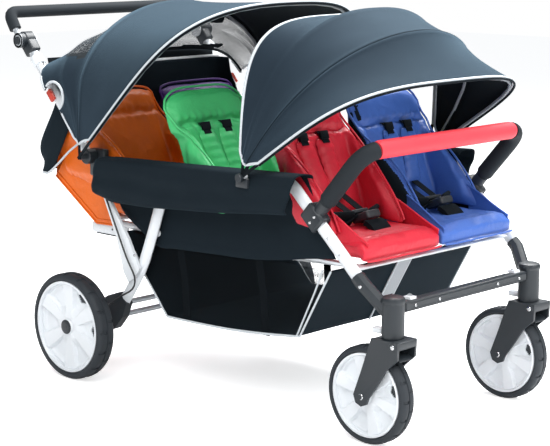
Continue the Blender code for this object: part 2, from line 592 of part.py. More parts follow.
def bumper():
    slope = (Vector((RAIL_FRONT[0], 0, RAIL_FRONT[1])) - Vector((LEG_END[0], 0, LEG_END[1]))).normalized()
    pitch = degrees(atan2(slope.z, slope.x))
    arm_y = RAIL_Y
    clamp = Vector((RAIL_FRONT[0], 0, RAIL_FRONT[1])) - slope * CLAMP_FROM_BEND
    out = (Vector((BUMPER_TOP[0], 0, BUMPER_TOP[1])) - clamp).normalized()
    for side, s in SIDES.items():
        shell = bmesh.new()
        add_box(shell, (clamp.x, s * RAIL_Y, clamp.z), (CLAMP_LENGTH, 0.036, 0.050), pitch=pitch, bevel=0.005)
        socket = bmesh.new()
        centre = Vector((clamp.x, s * arm_y, clamp.z))
        add_cylinder(socket, centre, centre + out * CLAMP_SOCKET, 0.017, 16)
        body = union_of(f"bar_clamp_{side}", [shell, socket], "black_plastic")
        room = bmesh.new()
        add_box(room, (clamp.x, s * RAIL_Y, clamp.z), (2 * CLAMP_LENGTH, TUBE_THICK + 2 * GAP, TUBE_WIDE + 2 * GAP),
                pitch=pitch)
        boolean(body, cutter(f"clamp_room_{side}", room))
        bore = bmesh.new()
        add_cylinder(bore, centre + out * (CLAMP_SOCKET - PEG_LENGTH - GAP), centre + out * (CLAMP_SOCKET + 0.01),
                     PEG_RADIUS + GAP, 12)
        boolean(body, cutter(f"peg_bore_{side}", bore))
    pivot = clamp + out * CLAMP_SOCKET
    start = clamp + out * (CLAMP_SOCKET + GAP)
    route = rounded([(start.x, -arm_y, start.z), (BUMPER_TOP[0], -arm_y, BUMPER_TOP[1]),
                     (BUMPER_TOP[0], arm_y, BUMPER_TOP[1]), (start.x, arm_y, start.z)], BUMPER_CORNER, 5)
    pegs = []
    for s in (-1, 1):
        peg = bmesh.new()
        base = Vector((start.x, s * arm_y, start.z))
        add_cylinder(peg, base + out * 0.010, base - out * PEG_LENGTH, PEG_RADIUS, 12)
        pegs.append(peg)
    union_of("bumper_bar", [tube_mesh(route, BUMPER_ARM_RADIUS), *pegs], "foam_grip", pivot)
    foam_route = [Vector((BUMPER_TOP[0], y, BUMPER_TOP[1])) for y in (-BUMPER_RED_HALF, 0, BUMPER_RED_HALF)]
    corner = [p for p in route if p.y > BUMPER_RED_HALF and p.x > BUMPER_TOP[0] - 0.03]
    foam = finish("bumper_foam", tube_mesh(foam_route, BUMPER_FOAM_RADIUS, 3), "red_foam", pivot)
    boolean(foam, cutter("foam_bore", tube_mesh(route, BUMPER_ARM_RADIUS + GAP)))


def row_x(row):
    return {"front": 0, "middle": -ROW_PITCH, "rear": -2 * ROW_PITCH}[row]


def shaped_cushion(columns, rows, top, bottom, place):
    """A closed cushion: a grid of columns across and rows along, with a height above and a depth below."""
    bm = bmesh.new()
    layers = []
    for height in (top, bottom):
        layers.append([[bm.verts.new(place(u, v, height(u, v))) for u in columns] for v in rows])
    upper, lower = layers
    across, along = len(columns) - 1, len(rows) - 1
    for j in range(along):
        for i in range(across):
            bm.faces.new((upper[j][i], upper[j][i + 1], upper[j + 1][i + 1], upper[j + 1][i]))
            bm.faces.new((lower[j + 1][i], lower[j + 1][i + 1], lower[j][i + 1], lower[j][i]))
    rim = [(0, i) for i in range(across)] + [(j, across) for j in range(along)]
    rim += [(along, i) for i in range(across, 0, -1)] + [(j, 0) for j in range(along, 0, -1)]
    for k, (j, i) in enumerate(rim):
        n, m = rim[(k + 1) % len(rim)]
        bm.faces.new((upper[j][i], lower[j][i], lower[n][m], upper[n][m]))
    return bm


def fade(value, low, high):
    t = min(max((value - low) / (high - low), 0), 1)
    return t * t * (3 - 2 * t)


def pillow(u, v):
    """The crown of a cushion: 1 in its middle, 0 at its drawn-in edges."""
    return (1 - abs(2 * u - 1) ** 4) * (1 - abs(2 * v - 1) ** 4)


def seat_pan(row, side, s):
    front, rear = PAN_FRONT + row_x(row), SEAT_HINGE[0] + row_x(row) + 0.006

    def top(u, v):
        channel = 0.006 * (1 - fade(abs(v - 0.80), 0.0, 0.07))
        roll = 0.014 * fade(v, 0.84, 1.0) ** 2
        return PAN_TOP + CUSHION_CROWN * pillow(u, v) - channel * fade(min(u, 1 - u), 0, 0.1) - roll

    def bottom(u, v):
        return PAN_TOP - PAN_THICKNESS + 0.010 * (1 - pillow(u, min(v, 0.5))) + 0.003 * fade(v, 0.9, 1.0)

    def place(u, v, z):
        waist = 0.004 * (1 - abs(2 * v - 1) ** 2)
        half = (SEAT_OUTER - SEAT_HALF_GAP) / 2 - waist
        corner = 0.016 * abs(2 * u - 1) ** 6 * fade(v, 0.8, 1.0)
        y = (SEAT_OUTER + SEAT_HALF_GAP) / 2 + (2 * u - 1) * half
        return rear + v * (front - rear) - corner, s * y, z

    columns = [k / 8 for k in range(9)]
    rows = (0, 0.14, 0.40, 0.66, 0.74, 0.80, 0.86, 0.94, 1.0)
    bm = shaped_cushion(columns, rows, top, bottom, place)
    finish(f"seat_pan_{row}_{side}", bm, f"leathercloth_{row}_{side}", colour=SEAT_COLOURS[row, side])


def seat_back(row, side, s):
    """The back cushion with its headrest and the two wings that reach forward beside the child."""
    pitch = radians(REAR_SEAT_PITCH if row == "rear" else SEAT_PITCH)
    hinge = Vector((SEAT_HINGE[0] + row_x(row), 0, SEAT_HINGE[1]))
    up = Vector((-cos(pitch), 0, sin(pitch)))
    out = Vector((sin(pitch), 0, cos(pitch)))
    wing_share = WING_THICKNESS / (SEAT_OUTER - SEAT_HALF_GAP)
    lean = pi / 2 - pitch

    def wing(u, v):
        edge = min(u, 1 - u)
        return (1 - fade(edge, wing_share, 2.2 * wing_share)) * WING_DEPTH * (1 - fade(v, 0.0, 0.78)) ** 0.8

    def top(u, v):
        channel = 0.007 * (1 - fade(abs(v - 0.70), 0.0, 0.06))
        return CUSHION_CROWN * pillow(u, v) - channel * fade(min(u, 1 - u), 0, 0.12) + wing(u, v)

    def bottom(u, v):
        boot = 0.0
        if row == "rear":
            boot = REAR_SEAT_BOOT * (0.08 + 0.92 * fade(v, 0.0, 0.44)) * (1 - fade(v, 0.62, 0.95))
        return -BACK_THICKNESS + 0.010 * (1 - pillow(u, v)) - boot

    def place(u, v, w):
        spread = fade(v, 0.56, 0.70) * (HEAD_OUTER - SEAT_OUTER)
        outer, inner = SEAT_OUTER + spread, SEAT_HALF_GAP
        taper = 0.012 * fade(v, 0.6, 1.0)
        y = inner + taper + u * (outer - inner - taper)
        drop = 0.040 * abs(2 * u - 1) ** 5 * fade(v, 0.7, 1.0)
        shear = -max(w, 0) * tan(lean) * (1 - fade(v, 0.0, 0.5))
        point = hinge + up * (SEAT_FOOT + v * BACK_LENGTH - drop + shear) + out * w
        return point.x, s * y, point.z

    side_columns = (0, 0.5 * wing_share, wing_share, 2.2 * wing_share)
    columns = [*side_columns, 0.3, 0.5, 0.7, *[1 - c for c in reversed(side_columns)]]
    rows = (0, 0.12, 0.26, 0.42, 0.56, 0.64, 0.70, 0.76, 0.88, 1.0)
    bm = shaped_cushion(columns, rows, top, bottom, place)
    finish(f"seat_back_{row}_{side}", bm, f"leathercloth_{row}_{side}", tuple(hinge), SEAT_COLOURS[row, side])


def seat_frame():
    """A welded ladder under the seats: two rails, a cross tube under each row's ends and two front braces."""
    z = SEAT_FRAME_TOP - SEAT_TUBE_RADIUS
    reach = RAIL_Y - TUBE_THICK / 2 - GAP
    pieces = []
    for x, half in ((SEAT_FRONT_TUBE, reach), (SEAT_REAR_TUBE, reach),
                    (-ROW_PITCH + 0.02, SEAT_RAIL_Y), (SEAT_RAIL_REAR + 0.02, SEAT_RAIL_Y)):
        cross = bmesh.new()
        add_cylinder(cross, (x, -half, z), (x, half, z), SEAT_TUBE_RADIUS, 12)
        pieces.append(cross)
    for s in (-1, 1):
        rail = bmesh.new()
        add_box(rail, ((SEAT_RAIL_REAR + SEAT_FRONT_TUBE) / 2, s * SEAT_RAIL_Y, z),
                (SEAT_FRONT_TUBE - SEAT_RAIL_REAR, 0.018, 2 * SEAT_TUBE_RADIUS - 0.002), bevel=0.003)
        pieces.append(rail)
        foot_z = CROSSBAR_Z + CROSSBAR_HEIGHT / 2 + GAP
        brace = bmesh.new()
        add_cylinder(brace, (SEAT_FRONT_TUBE, s * BRACE_TOP_Y, z), (-0.004, s * BRACE_FOOT_Y, foot_z + 0.007), 0.007, 10)
        pieces.append(brace)
        foot = bmesh.new()
        add_box(foot, (-0.003, s * BRACE_FOOT_Y, foot_z + 0.003), (0.022, 0.022, 0.006))
        pieces.append(foot)
    union_of("seat_frame", [pieces[4], *pieces[:4], *pieces[5:]], "white_paint")


def bow_points(pivot, tilt, leg, height, y, n, m, count=16, start=0.02):
    """Points of a hood bow: straight legs under a flat-topped arch, in a plane tilted from level."""
    points = []
    for k in range(count + 1):
        t = start + (pi - 2 * start) * k / count
        across = -y * (1 if cos(t) >= 0 else -1) * abs(cos(t)) ** (2 / n)
        rise = leg + height * sin(t) ** (2 / m)
        points.append(Vector((pivot[0] + rise * cos(radians(tilt)), across, pivot[1] + rise * sin(radians(tilt)))))
    return points


def bow(name, pivot, station, layer):
    """A tube bow with a thin plate at each end, which turns on the pivot pin in its own layer."""
    tilt = station[0]
    along = Vector((cos(radians(tilt)), 0, sin(radians(tilt))))
    foot = Vector((pivot[0], 0, pivot[1])) + along * (HOOD_PLATE_LENGTH - 0.012)
    points = [p for p in bow_points(pivot, *station[:3], HOOD_BOW_Y, *station[3:])
              if (p - Vector((pivot[0], p.y, pivot[1]))).length > HOOD_PLATE_LENGTH]
    route = [Vector((foot.x, -HOOD_BOW_Y, foot.z)), *points, Vector((foot.x, HOOD_BOW_Y, foot.z))]
    pieces = [tube_mesh(route, HOOD_BOW_RADIUS, 1)]
    for s in (-1, 1):
        plate = bmesh.new()
        y = s * (HOOD_BOW_Y - HOOD_BOW_RADIUS + HOOD_PLATE / 2 + layer * (HOOD_PLATE + GAP))
        middle = Vector((pivot[0], y, pivot[1])) + along * (HOOD_PLATE_LENGTH / 2 - 0.005)
        add_box(plate, middle, (HOOD_PLATE_LENGTH, HOOD_PLATE, HOOD_PLATE_WIDTH), pitch=tilt)
        pieces.append(plate)
    union_of(name, pieces, "dark_metal", (pivot[0], 0, pivot[1]))


FRONT_HOOD = (
    (86.5, 0.004, 0.366, 4.4, 4.6),
    (74.8, 0.022, 0.379, 2.5, 2.3),
    (53.8, 0.008, 0.412, 2.1, 2.7),
    (33.3, 0.033, 0.385, 3.4, 4.7),
)
REAR_HOOD = (
    (127.0, 0.040, 0.262, 6.0, 8.0),
    (106.0, 0.043, 0.285, 3.2, 4.5),
    (90.0, 0.047, 0.345, 2.0, 2.8),
    (43.6, 0.038, 0.552, 2.6, 5.8),
)


def sheet(name, sections, finish_name, origin, thickness=CLOTH):
    """A lofted cloth through sections of points, thickened inwards."""
    bm = bmesh.new()
    rows = [[bm.verts.new(p) for p in section] for section in sections]
    for a, b in zip(rows, rows[1:]):
        for k in range(len(a) - 1):
            bm.faces.new((a[k], a[k + 1], b[k + 1], b[k]))
    obj = finish(name, bm, finish_name, origin)
    shell = obj.modifiers.new("cloth", "SOLIDIFY")
    shell.thickness = thickness
    shell.offset = 0
    shell.use_even_offset = True
    return obj


def hood_sections(pivot, stations, offset, between):
    """Sections of a hood's cloth: one over each station, and straight spans from each to the next."""
    edges = [bow_points(pivot, tilt, leg, height + offset, HOOD_BOW_Y + offset, n, m)
             for tilt, leg, height, n, m in stations]
    sections = [edges[0]]
    for first, second in zip(edges, edges[1:]):
        for k in range(1, between + 2):
            share = k / (between + 1)
            sections.append([a.lerp(b, share) for a, b in zip(first, second)])
    return sections


def hoods():
    for layer, (name, station) in enumerate((("rear", 0), ("middle", 2), ("front", 3))):
        bow(f"front_hood_{name}_bow", FRONT_HOOD_PIVOT, FRONT_HOOD[station], layer)
    sheet("front_hood_cloth", hood_sections(FRONT_HOOD_PIVOT, FRONT_HOOD, FRONT_CLOTH_OFFSET, 2), "grey_cloth",
          (FRONT_HOOD_PIVOT[0], 0, FRONT_HOOD_PIVOT[1]))
    for layer, (name, station) in enumerate((("rear", 2), ("front", 3))):
        bow(f"rear_hood_{name}_bow", HINGE, REAR_HOOD[station], layer)
    sheet("rear_hood_cloth", hood_sections(HINGE, REAR_HOOD, REAR_CLOTH_OFFSET, 2), "grey_cloth", (HINGE[0], 0, HINGE[1]))


def side_covers():
    """Black cloth over each side rail: an inner panel, a top strip and an outer flap."""
    leg = Vector((RAIL_FRONT[0] - LEG_END[0], RAIL_FRONT[1] - LEG_END[1])).normalized()
    clear = Vector((-leg.y, -abs(leg.x))) * PANEL_BEHIND_LEG
    upper = Vector((RAIL_FRONT[0], RAIL_FRONT[1])) + clear
    lower = Vector(LEG_END) + leg * 0.040 + clear
    strip_rear = (COVER_REAR, RAIL_REAR[1] + TUBE_WIDE / 2 + 0.006)
    strip_front = (COVER_FRONT, RAIL_FRONT[1] + TUBE_WIDE / 2 + 0.008)
    panel = (strip_rear, strip_front, (upper.x, upper.y), (lower.x, lower.y), *PANEL_BOTTOM)
    strip = (strip_rear, strip_front, (COVER_FRONT, strip_front[1] - CLOTH), (COVER_REAR, strip_rear[1] - CLOTH))
    flap = (strip_rear, strip_front, *FLAP_BOTTOM)
    for side, s in SIDES.items():
        pieces = []
        for outline, y0, y1 in ((panel, PANEL_Y, PANEL_Y + CLOTH), (strip, PANEL_Y, FLAP_Y + CLOTH),
                                (flap, FLAP_Y, FLAP_Y + CLOTH)):
            bm = bmesh.new()
            add_prism(bm, outline, s * y0, s * y1)
            pieces.append(bm)
        cover = union_of(f"side_cover_{side}", pieces, "black_cloth")
        hole = bmesh.new()
        px, pz = FRONT_HOOD_PIVOT
        add_cylinder(hole, (px, s * (FLAP_Y - 0.01), pz), (px, s * (FLAP_Y + 0.01), pz), 0.0085, 12)
        boolean(cover, cutter(f"pivot_hole_{side}", hole))
        room = bmesh.new()
        z = SEAT_FRAME_TOP - SEAT_TUBE_RADIUS
        add_cylinder(room, (SEAT_REAR_TUBE, s * (PANEL_Y - 0.01), z), (SEAT_REAR_TUBE, s * (PANEL_Y + 0.008), z),
                     SEAT_TUBE_RADIUS + 2 * GAP, 12)
        boolean(cover, cutter(f"tube_hole_{side}", room))


def basket():
    rear_top, rear_low, floor_rear, floor_middle, floor_front, front_top = BASKET_OUTLINE
    above = 5 * BASKET_WALL
    lean = (front_top[0] - floor_front[0]) / (front_top[1] - floor_front[1])
    inner = [(rear_top[0] + BASKET_WALL, rear_top[1] + above), (rear_low[0] + BASKET_WALL, rear_low[1]),
             (floor_rear[0] + 0.75 * BASKET_WALL, floor_rear[1] + BASKET_WALL),
             (floor_middle[0], floor_middle[1] + BASKET_WALL),
             (floor_front[0] - BASKET_WALL, floor_front[1] + BASKET_WALL),
             (front_top[0] + above * lean - 1.05 * BASKET_WALL, front_top[1] + above)]
    bm = bmesh.new()
    add_prism(bm, BASKET_OUTLINE, -BASKET_HALF, BASKET_HALF)
    body = finish("basket", bm, "black_cloth")
    room = bmesh.new()
    add_prism(room, inner, -BASKET_HALF + BASKET_WALL, BASKET_HALF - BASKET_WALL)
    boolean(body, cutter("basket_room", room))


def curtain():
    """The cloth wall behind the rear seats, with a return along each side."""
    sections = []
    for (x, z), edge in zip(CURTAIN_WALL, CURTAIN_FRONT):
        sections.append([Vector(p) for p in (
            (edge, -CURTAIN_Y, z), ((edge + x) / 2, -CURTAIN_Y, z), (x + CURTAIN_CORNER, -CURTAIN_Y, z),
            (x, -CURTAIN_Y + CURTAIN_CORNER, z), (x, -CURTAIN_Y / 3, z), (x, CURTAIN_Y / 3, z),
            (x, CURTAIN_Y - CURTAIN_CORNER, z), (x + CURTAIN_CORNER, CURTAIN_Y, z), ((edge + x) / 2, CURTAIN_Y, z),
            (edge, CURTAIN_Y, z))])
    sheet("rear_curtain", sections, "black_cloth", (0, 0, 0))


def brake_cable():
    face = RAIL_Y + TUBE_THICK / 2 + GAP
    lane = face + STRUT_THICKNESS + 0.0055
    hub_face = RAIL_Y - TUBE_THICK / 2 + HUB_BRACKET_THICKNESS + GAP
    route = ((-0.982, face, 0.576), (-0.981, face + 0.008, 0.575), (-0.976, lane, 0.562), (-0.955, lane, 0.512),
             (-0.918, lane, 0.440), (-0.868, lane, 0.345), (-0.836, lane, 0.296), (-0.845, lane, 0.262),
             (REAR_AXLE_X + 0.127, lane, 0.236), (REAR_AXLE_X + 0.080, lane - 0.002, 0.208),
             (REAR_AXLE_X + 0.066, hub_face + 0.006, 0.202))
    points = smooth_route([(x, -y, z) for x, y, z in route], 3)
    points.append(Vector((points[-1].x, -hub_face, points[-1].z)))
    finish("brake_cable", tube_mesh(points, 0.0025), "cable_black")


casters()
side_frames()
rear_axle()
handle_frame()
bumper()
seat_frame()
for seat_row in ("front", "middle", "rear"):
    for seat_side, sign in SIDES.items():
        seat_pan(seat_row, seat_side, sign)
        seat_back(seat_row, seat_side, sign)
hoods()
side_covers()
basket()
curtain()
brake_cable()
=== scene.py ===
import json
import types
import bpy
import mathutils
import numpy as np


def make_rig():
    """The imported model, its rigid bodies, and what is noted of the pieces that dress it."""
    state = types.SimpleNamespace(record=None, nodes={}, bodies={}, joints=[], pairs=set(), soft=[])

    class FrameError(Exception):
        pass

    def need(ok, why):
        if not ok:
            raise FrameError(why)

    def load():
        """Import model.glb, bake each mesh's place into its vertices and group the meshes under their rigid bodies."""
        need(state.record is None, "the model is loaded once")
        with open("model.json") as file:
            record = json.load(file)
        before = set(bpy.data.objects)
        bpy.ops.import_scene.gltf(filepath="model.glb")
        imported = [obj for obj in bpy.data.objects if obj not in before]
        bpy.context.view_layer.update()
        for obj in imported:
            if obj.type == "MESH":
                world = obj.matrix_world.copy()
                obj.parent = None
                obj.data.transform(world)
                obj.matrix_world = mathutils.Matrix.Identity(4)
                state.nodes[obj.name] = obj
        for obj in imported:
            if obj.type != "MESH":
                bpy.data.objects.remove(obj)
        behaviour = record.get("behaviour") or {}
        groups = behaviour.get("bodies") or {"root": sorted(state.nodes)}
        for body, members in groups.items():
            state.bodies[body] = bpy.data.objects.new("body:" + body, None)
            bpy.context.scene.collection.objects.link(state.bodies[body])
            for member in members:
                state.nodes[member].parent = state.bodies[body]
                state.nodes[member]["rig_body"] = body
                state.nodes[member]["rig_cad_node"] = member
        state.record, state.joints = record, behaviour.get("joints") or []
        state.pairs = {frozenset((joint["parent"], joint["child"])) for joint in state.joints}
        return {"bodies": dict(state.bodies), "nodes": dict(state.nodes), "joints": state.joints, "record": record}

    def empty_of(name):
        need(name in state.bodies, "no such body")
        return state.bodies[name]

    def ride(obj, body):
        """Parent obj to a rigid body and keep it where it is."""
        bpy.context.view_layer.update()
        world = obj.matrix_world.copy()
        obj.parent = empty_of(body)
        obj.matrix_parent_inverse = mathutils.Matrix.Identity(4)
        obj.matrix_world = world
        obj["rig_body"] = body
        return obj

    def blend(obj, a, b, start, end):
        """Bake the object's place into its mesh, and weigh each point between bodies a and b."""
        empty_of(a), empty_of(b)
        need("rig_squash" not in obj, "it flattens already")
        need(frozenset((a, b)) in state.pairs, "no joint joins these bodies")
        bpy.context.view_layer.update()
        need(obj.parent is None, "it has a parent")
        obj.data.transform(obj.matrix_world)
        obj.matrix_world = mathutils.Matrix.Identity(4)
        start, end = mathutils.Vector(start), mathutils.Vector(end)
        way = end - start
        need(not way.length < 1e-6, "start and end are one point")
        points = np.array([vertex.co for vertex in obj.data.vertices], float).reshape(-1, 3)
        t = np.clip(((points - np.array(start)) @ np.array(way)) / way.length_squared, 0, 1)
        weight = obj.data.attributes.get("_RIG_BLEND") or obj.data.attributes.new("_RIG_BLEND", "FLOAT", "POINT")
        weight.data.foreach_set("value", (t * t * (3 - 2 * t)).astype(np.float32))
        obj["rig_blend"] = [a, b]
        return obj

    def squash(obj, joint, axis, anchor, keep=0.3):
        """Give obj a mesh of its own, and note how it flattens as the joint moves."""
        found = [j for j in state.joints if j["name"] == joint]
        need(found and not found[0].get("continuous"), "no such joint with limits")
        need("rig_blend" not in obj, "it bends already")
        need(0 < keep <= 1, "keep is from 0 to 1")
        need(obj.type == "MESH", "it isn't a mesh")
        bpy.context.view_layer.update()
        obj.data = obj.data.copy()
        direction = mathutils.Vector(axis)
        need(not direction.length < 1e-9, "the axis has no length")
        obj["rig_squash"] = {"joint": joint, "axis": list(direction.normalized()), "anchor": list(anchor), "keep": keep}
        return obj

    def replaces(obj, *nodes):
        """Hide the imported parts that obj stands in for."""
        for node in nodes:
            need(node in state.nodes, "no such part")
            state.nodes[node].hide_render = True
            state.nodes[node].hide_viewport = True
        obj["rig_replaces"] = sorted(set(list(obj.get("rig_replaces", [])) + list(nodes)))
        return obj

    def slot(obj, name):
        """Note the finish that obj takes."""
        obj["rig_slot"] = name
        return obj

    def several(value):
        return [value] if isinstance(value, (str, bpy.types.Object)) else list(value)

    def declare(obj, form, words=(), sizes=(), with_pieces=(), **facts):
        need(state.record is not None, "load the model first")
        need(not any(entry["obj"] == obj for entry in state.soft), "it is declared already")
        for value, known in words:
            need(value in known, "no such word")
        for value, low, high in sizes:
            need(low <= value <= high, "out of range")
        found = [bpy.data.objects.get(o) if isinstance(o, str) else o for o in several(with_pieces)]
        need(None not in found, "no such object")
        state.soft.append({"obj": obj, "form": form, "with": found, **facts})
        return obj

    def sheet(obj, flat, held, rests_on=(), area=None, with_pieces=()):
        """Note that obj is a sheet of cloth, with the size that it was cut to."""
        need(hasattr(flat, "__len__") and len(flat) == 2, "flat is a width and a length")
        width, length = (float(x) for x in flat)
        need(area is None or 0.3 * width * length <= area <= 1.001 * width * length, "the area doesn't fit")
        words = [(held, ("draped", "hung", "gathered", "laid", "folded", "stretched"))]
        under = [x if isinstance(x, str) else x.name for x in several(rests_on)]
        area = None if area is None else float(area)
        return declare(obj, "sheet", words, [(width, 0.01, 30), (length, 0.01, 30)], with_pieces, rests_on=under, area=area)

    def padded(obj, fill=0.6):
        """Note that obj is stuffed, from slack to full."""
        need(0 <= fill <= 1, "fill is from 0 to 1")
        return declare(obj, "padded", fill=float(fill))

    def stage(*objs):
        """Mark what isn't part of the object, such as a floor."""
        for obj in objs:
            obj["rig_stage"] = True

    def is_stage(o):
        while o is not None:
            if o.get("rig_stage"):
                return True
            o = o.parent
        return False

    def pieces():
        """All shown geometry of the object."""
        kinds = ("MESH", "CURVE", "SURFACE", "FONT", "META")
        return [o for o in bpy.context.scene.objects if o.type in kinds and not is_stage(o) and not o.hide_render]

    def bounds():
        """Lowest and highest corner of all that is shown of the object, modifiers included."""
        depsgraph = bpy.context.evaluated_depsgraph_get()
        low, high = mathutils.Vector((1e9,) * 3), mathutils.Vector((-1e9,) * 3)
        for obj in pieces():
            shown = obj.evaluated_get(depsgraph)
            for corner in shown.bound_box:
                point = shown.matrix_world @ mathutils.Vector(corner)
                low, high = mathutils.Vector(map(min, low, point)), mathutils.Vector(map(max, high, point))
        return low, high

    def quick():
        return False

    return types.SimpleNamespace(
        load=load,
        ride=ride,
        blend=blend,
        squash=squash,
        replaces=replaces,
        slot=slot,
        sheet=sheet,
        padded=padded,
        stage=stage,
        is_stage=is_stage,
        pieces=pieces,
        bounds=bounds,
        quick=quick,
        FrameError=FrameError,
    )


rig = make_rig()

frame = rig.load()
solid_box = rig.bounds()

import json
from functools import partial
from math import atan2, copysign, cos, degrees, exp, pi, radians, sin, tan

import bmesh
import bpy
from mathutils import Matrix, Vector, noise

SIDES = {"right": -1, "left": 1}
ROWS = ("front", "middle", "rear")
AXIS_X = 0.64275  # the front swivel axis, from which lengths along the stroller are taken

scene = bpy.context.scene
scene.view_settings.view_transform = "Standard"

camera = bpy.data.objects.new("camera", bpy.data.cameras.new("camera"))
camera.data.lens = 106.72
camera.data.sensor_width = 36
camera.location = (2.99753, -3.09693, 1.20734)
camera.rotation_euler = (radians(79.671), 0, radians(44.032))
scene.collection.objects.link(camera)
scene.camera = camera


# ---------------------------------------------------------------- shaping

def fade(value, low, high):
    t = min(max((value - low) / (high - low), 0), 1)
    return t * t * (3 - 2 * t)


def ridge(value, centre, width):
    return exp(-(((value - centre) / width) ** 2))


def wander(x, y, z=0.0):
    """Smooth noise from -1 to 1."""
    return noise.noise(Vector((x, y, z)))


def smooth_path(points, steps=6):
    given = [Vector(p) for p in points]
    ends = [given[0] * 2 - given[1], *given, given[-1] * 2 - given[-2]]
    made = []
    for a, b, c, d in zip(ends, ends[1:], ends[2:], ends[3:]):
        for k in range(steps):
            t = k / steps
            made.append(0.5 * (2 * b + (c - a) * t + (2 * a - 5 * b + 4 * c - d) * t * t
                               + (3 * b - a - 3 * c + d) * t ** 3))
    return [*made, given[-1]]


def rounded_path(points, radius, steps=8):
    given = [Vector(p) for p in points]
    made = [given[0]]
    for a, b, c in zip(given, given[1:], given[2:]):
        back, on = (a - b).normalized(), (c - b).normalized()
        half = back.angle(on) / 2
        reach = min(radius / tan(half), (a - b).length * 0.49, (c - b).length * 0.49)
        first, last = b + back * reach, b + on * reach
        for k in range(steps + 1):
            t = k / steps
            made.append(first * (1 - t) ** 2 + b * 2 * t * (1 - t) + last * t * t)
    return [*made, given[-1]]


def lengths(points):
    made = [0.0]
    for a, b in zip(points, points[1:]):
        made.append(made[-1] + (b - a).length)
    return made


def along(points, share):
    """The point at that share of a path's length."""
    marks = lengths(points)
    goal = min(max(share, 0), 1) * marks[-1]
    for k in range(1, len(points)):
        if marks[k] >= goal or k == len(points) - 1:
            step = marks[k] - marks[k - 1]
            return points[k - 1].lerp(points[k], (goal - marks[k - 1]) / step if step else 0)


def spaced(points, count):
    """The same path with evenly spaced points."""
    return [along(points, k / count) for k in range(count + 1)]


def cloth_grid(across, length, place, size):
    """A grid of cloth laid out by place(u, v), with UVs in metres of its own cut."""
    bm = bmesh.new()
    layer = bm.loops.layers.uv.new("UVMap")
    bmesh.ops.create_grid(bm, x_segments=across, y_segments=length, size=0.5, calc_uvs=True)
    for face in bm.faces:
        for loop in face.loops:
            u, v = loop.vert.co.x + 0.5, loop.vert.co.y + 0.5
            loop[layer].uv = (u * size[0], v * size[1])
    for vert in bm.verts:
        vert.co = place(vert.co.x + 0.5, vert.co.y + 0.5)
    return bm


def swept(points, radius, sides=8):
    """A round tube along a path, with closed ends."""
    curve = bpy.data.curves.new("path", "CURVE")
    curve.dimensions = "3D"
    spline = curve.splines.new("POLY")
    spline.points.add(len(points) - 1)
    for knot, point in zip(spline.points, points):
        knot.co = (*point, 1)
    curve.bevel_depth = radius
    curve.bevel_resolution = (sides - 4) // 2
    curve.use_fill_caps = True
    holder = bpy.data.objects.new("path", curve)
    scene.collection.objects.link(holder)
    mesh = bpy.data.meshes.new_from_object(holder.evaluated_get(bpy.context.evaluated_depsgraph_get()))
    bm = bmesh.new()
    bm.from_mesh(mesh)
    bmesh.ops.remove_doubles(bm, verts=bm.verts, dist=1e-6)
    bpy.data.objects.remove(holder)
    bpy.data.meshes.remove(mesh)
    return bm


def placed(bm, shift, turn=None):
    """The same mesh, turned about the origin if a turn is given, and then shifted."""
    if turn is not None:
        bmesh.ops.rotate(bm, verts=bm.verts, cent=(0, 0, 0), matrix=turn)
    bmesh.ops.translate(bm, verts=bm.verts, vec=shift)
    return bm


def walled(bm, thickness):
    """The same open mesh with a wall's thickness."""
    bmesh.ops.solidify(bm, geom=bm.faces[:] + bm.edges[:] + bm.verts[:], thickness=thickness)
    return bm


def webbing(points, width, thickness, side):
    """A flat strap along a path, with its width along side."""
    side = Vector(side).normalized()
    bm = bmesh.new()
    first = [bm.verts.new(points[0] + side * (width * a)) for a in (-0.5, 0.5)]
    edge = bm.edges.new(first)
    for before, after in zip(points, points[1:]):
        grown = bmesh.ops.extrude_edge_only(bm, edges=[edge])["geom"]
        verts = [g for g in grown if isinstance(g, bmesh.types.BMVert)]
        bmesh.ops.translate(bm, verts=verts, vec=after - before)
        edge = next(g for g in grown if isinstance(g, bmesh.types.BMEdge))
    bmesh.ops.recalc_face_normals(bm, faces=bm.faces)
    return walled(bm, thickness)


def block(centre, size, pitch=0.0, bevel=0.0, segments=2):
    """A box with rounded edges, turned about Y by pitch degrees."""
    bm = bmesh.new()
    bmesh.ops.create_cube(bm, size=1)
    bmesh.ops.scale(bm, vec=size, verts=bm.verts)
    if bevel:
        bmesh.ops.bevel(bm, geom=bm.edges[:], offset=bevel, segments=segments, affect="EDGES",
                        profile=0.5, material=-1)
    return placed(bm, centre, Matrix.Rotation(radians(-pitch), 3, "Y"))


def turned(profile, centre, axis, steps=24):
    """A solid of revolution: profile is (radius, distance along the axis) from one end to the other."""
    bm = bmesh.new()
    verts = [bm.verts.new((r, 0, h)) for r, h in profile]
    edges = [bm.edges.new(pair) for pair in zip(verts, verts[1:])]
    bmesh.ops.spin(bm, geom=verts + edges, cent=(0, 0, 0), axis=(0, 0, 1), angle=2 * pi, steps=steps, use_merge=True)
    bmesh.ops.remove_doubles(bm, verts=bm.verts, dist=1e-6)
    bmesh.ops.recalc_face_normals(bm, faces=bm.faces)
    turn = Vector((0, 0, 1)).rotation_difference(Vector(axis).normalized())
    return placed(bm, centre, turn.to_matrix())


def both_sides(profile, *middle):
    """A profile given from one end to its middle, followed by its other half."""
    return [*profile, *middle, *[(r, -h) for r, h in reversed(profile)]]


def drum(radius, half, centre, axis, steps, edge=0.002):
    """A solid cylinder with a chamfer at both ends."""
    return turned(both_sides([(0, -half), (radius - edge, -half), (radius, edge - half)]), centre, axis, steps)


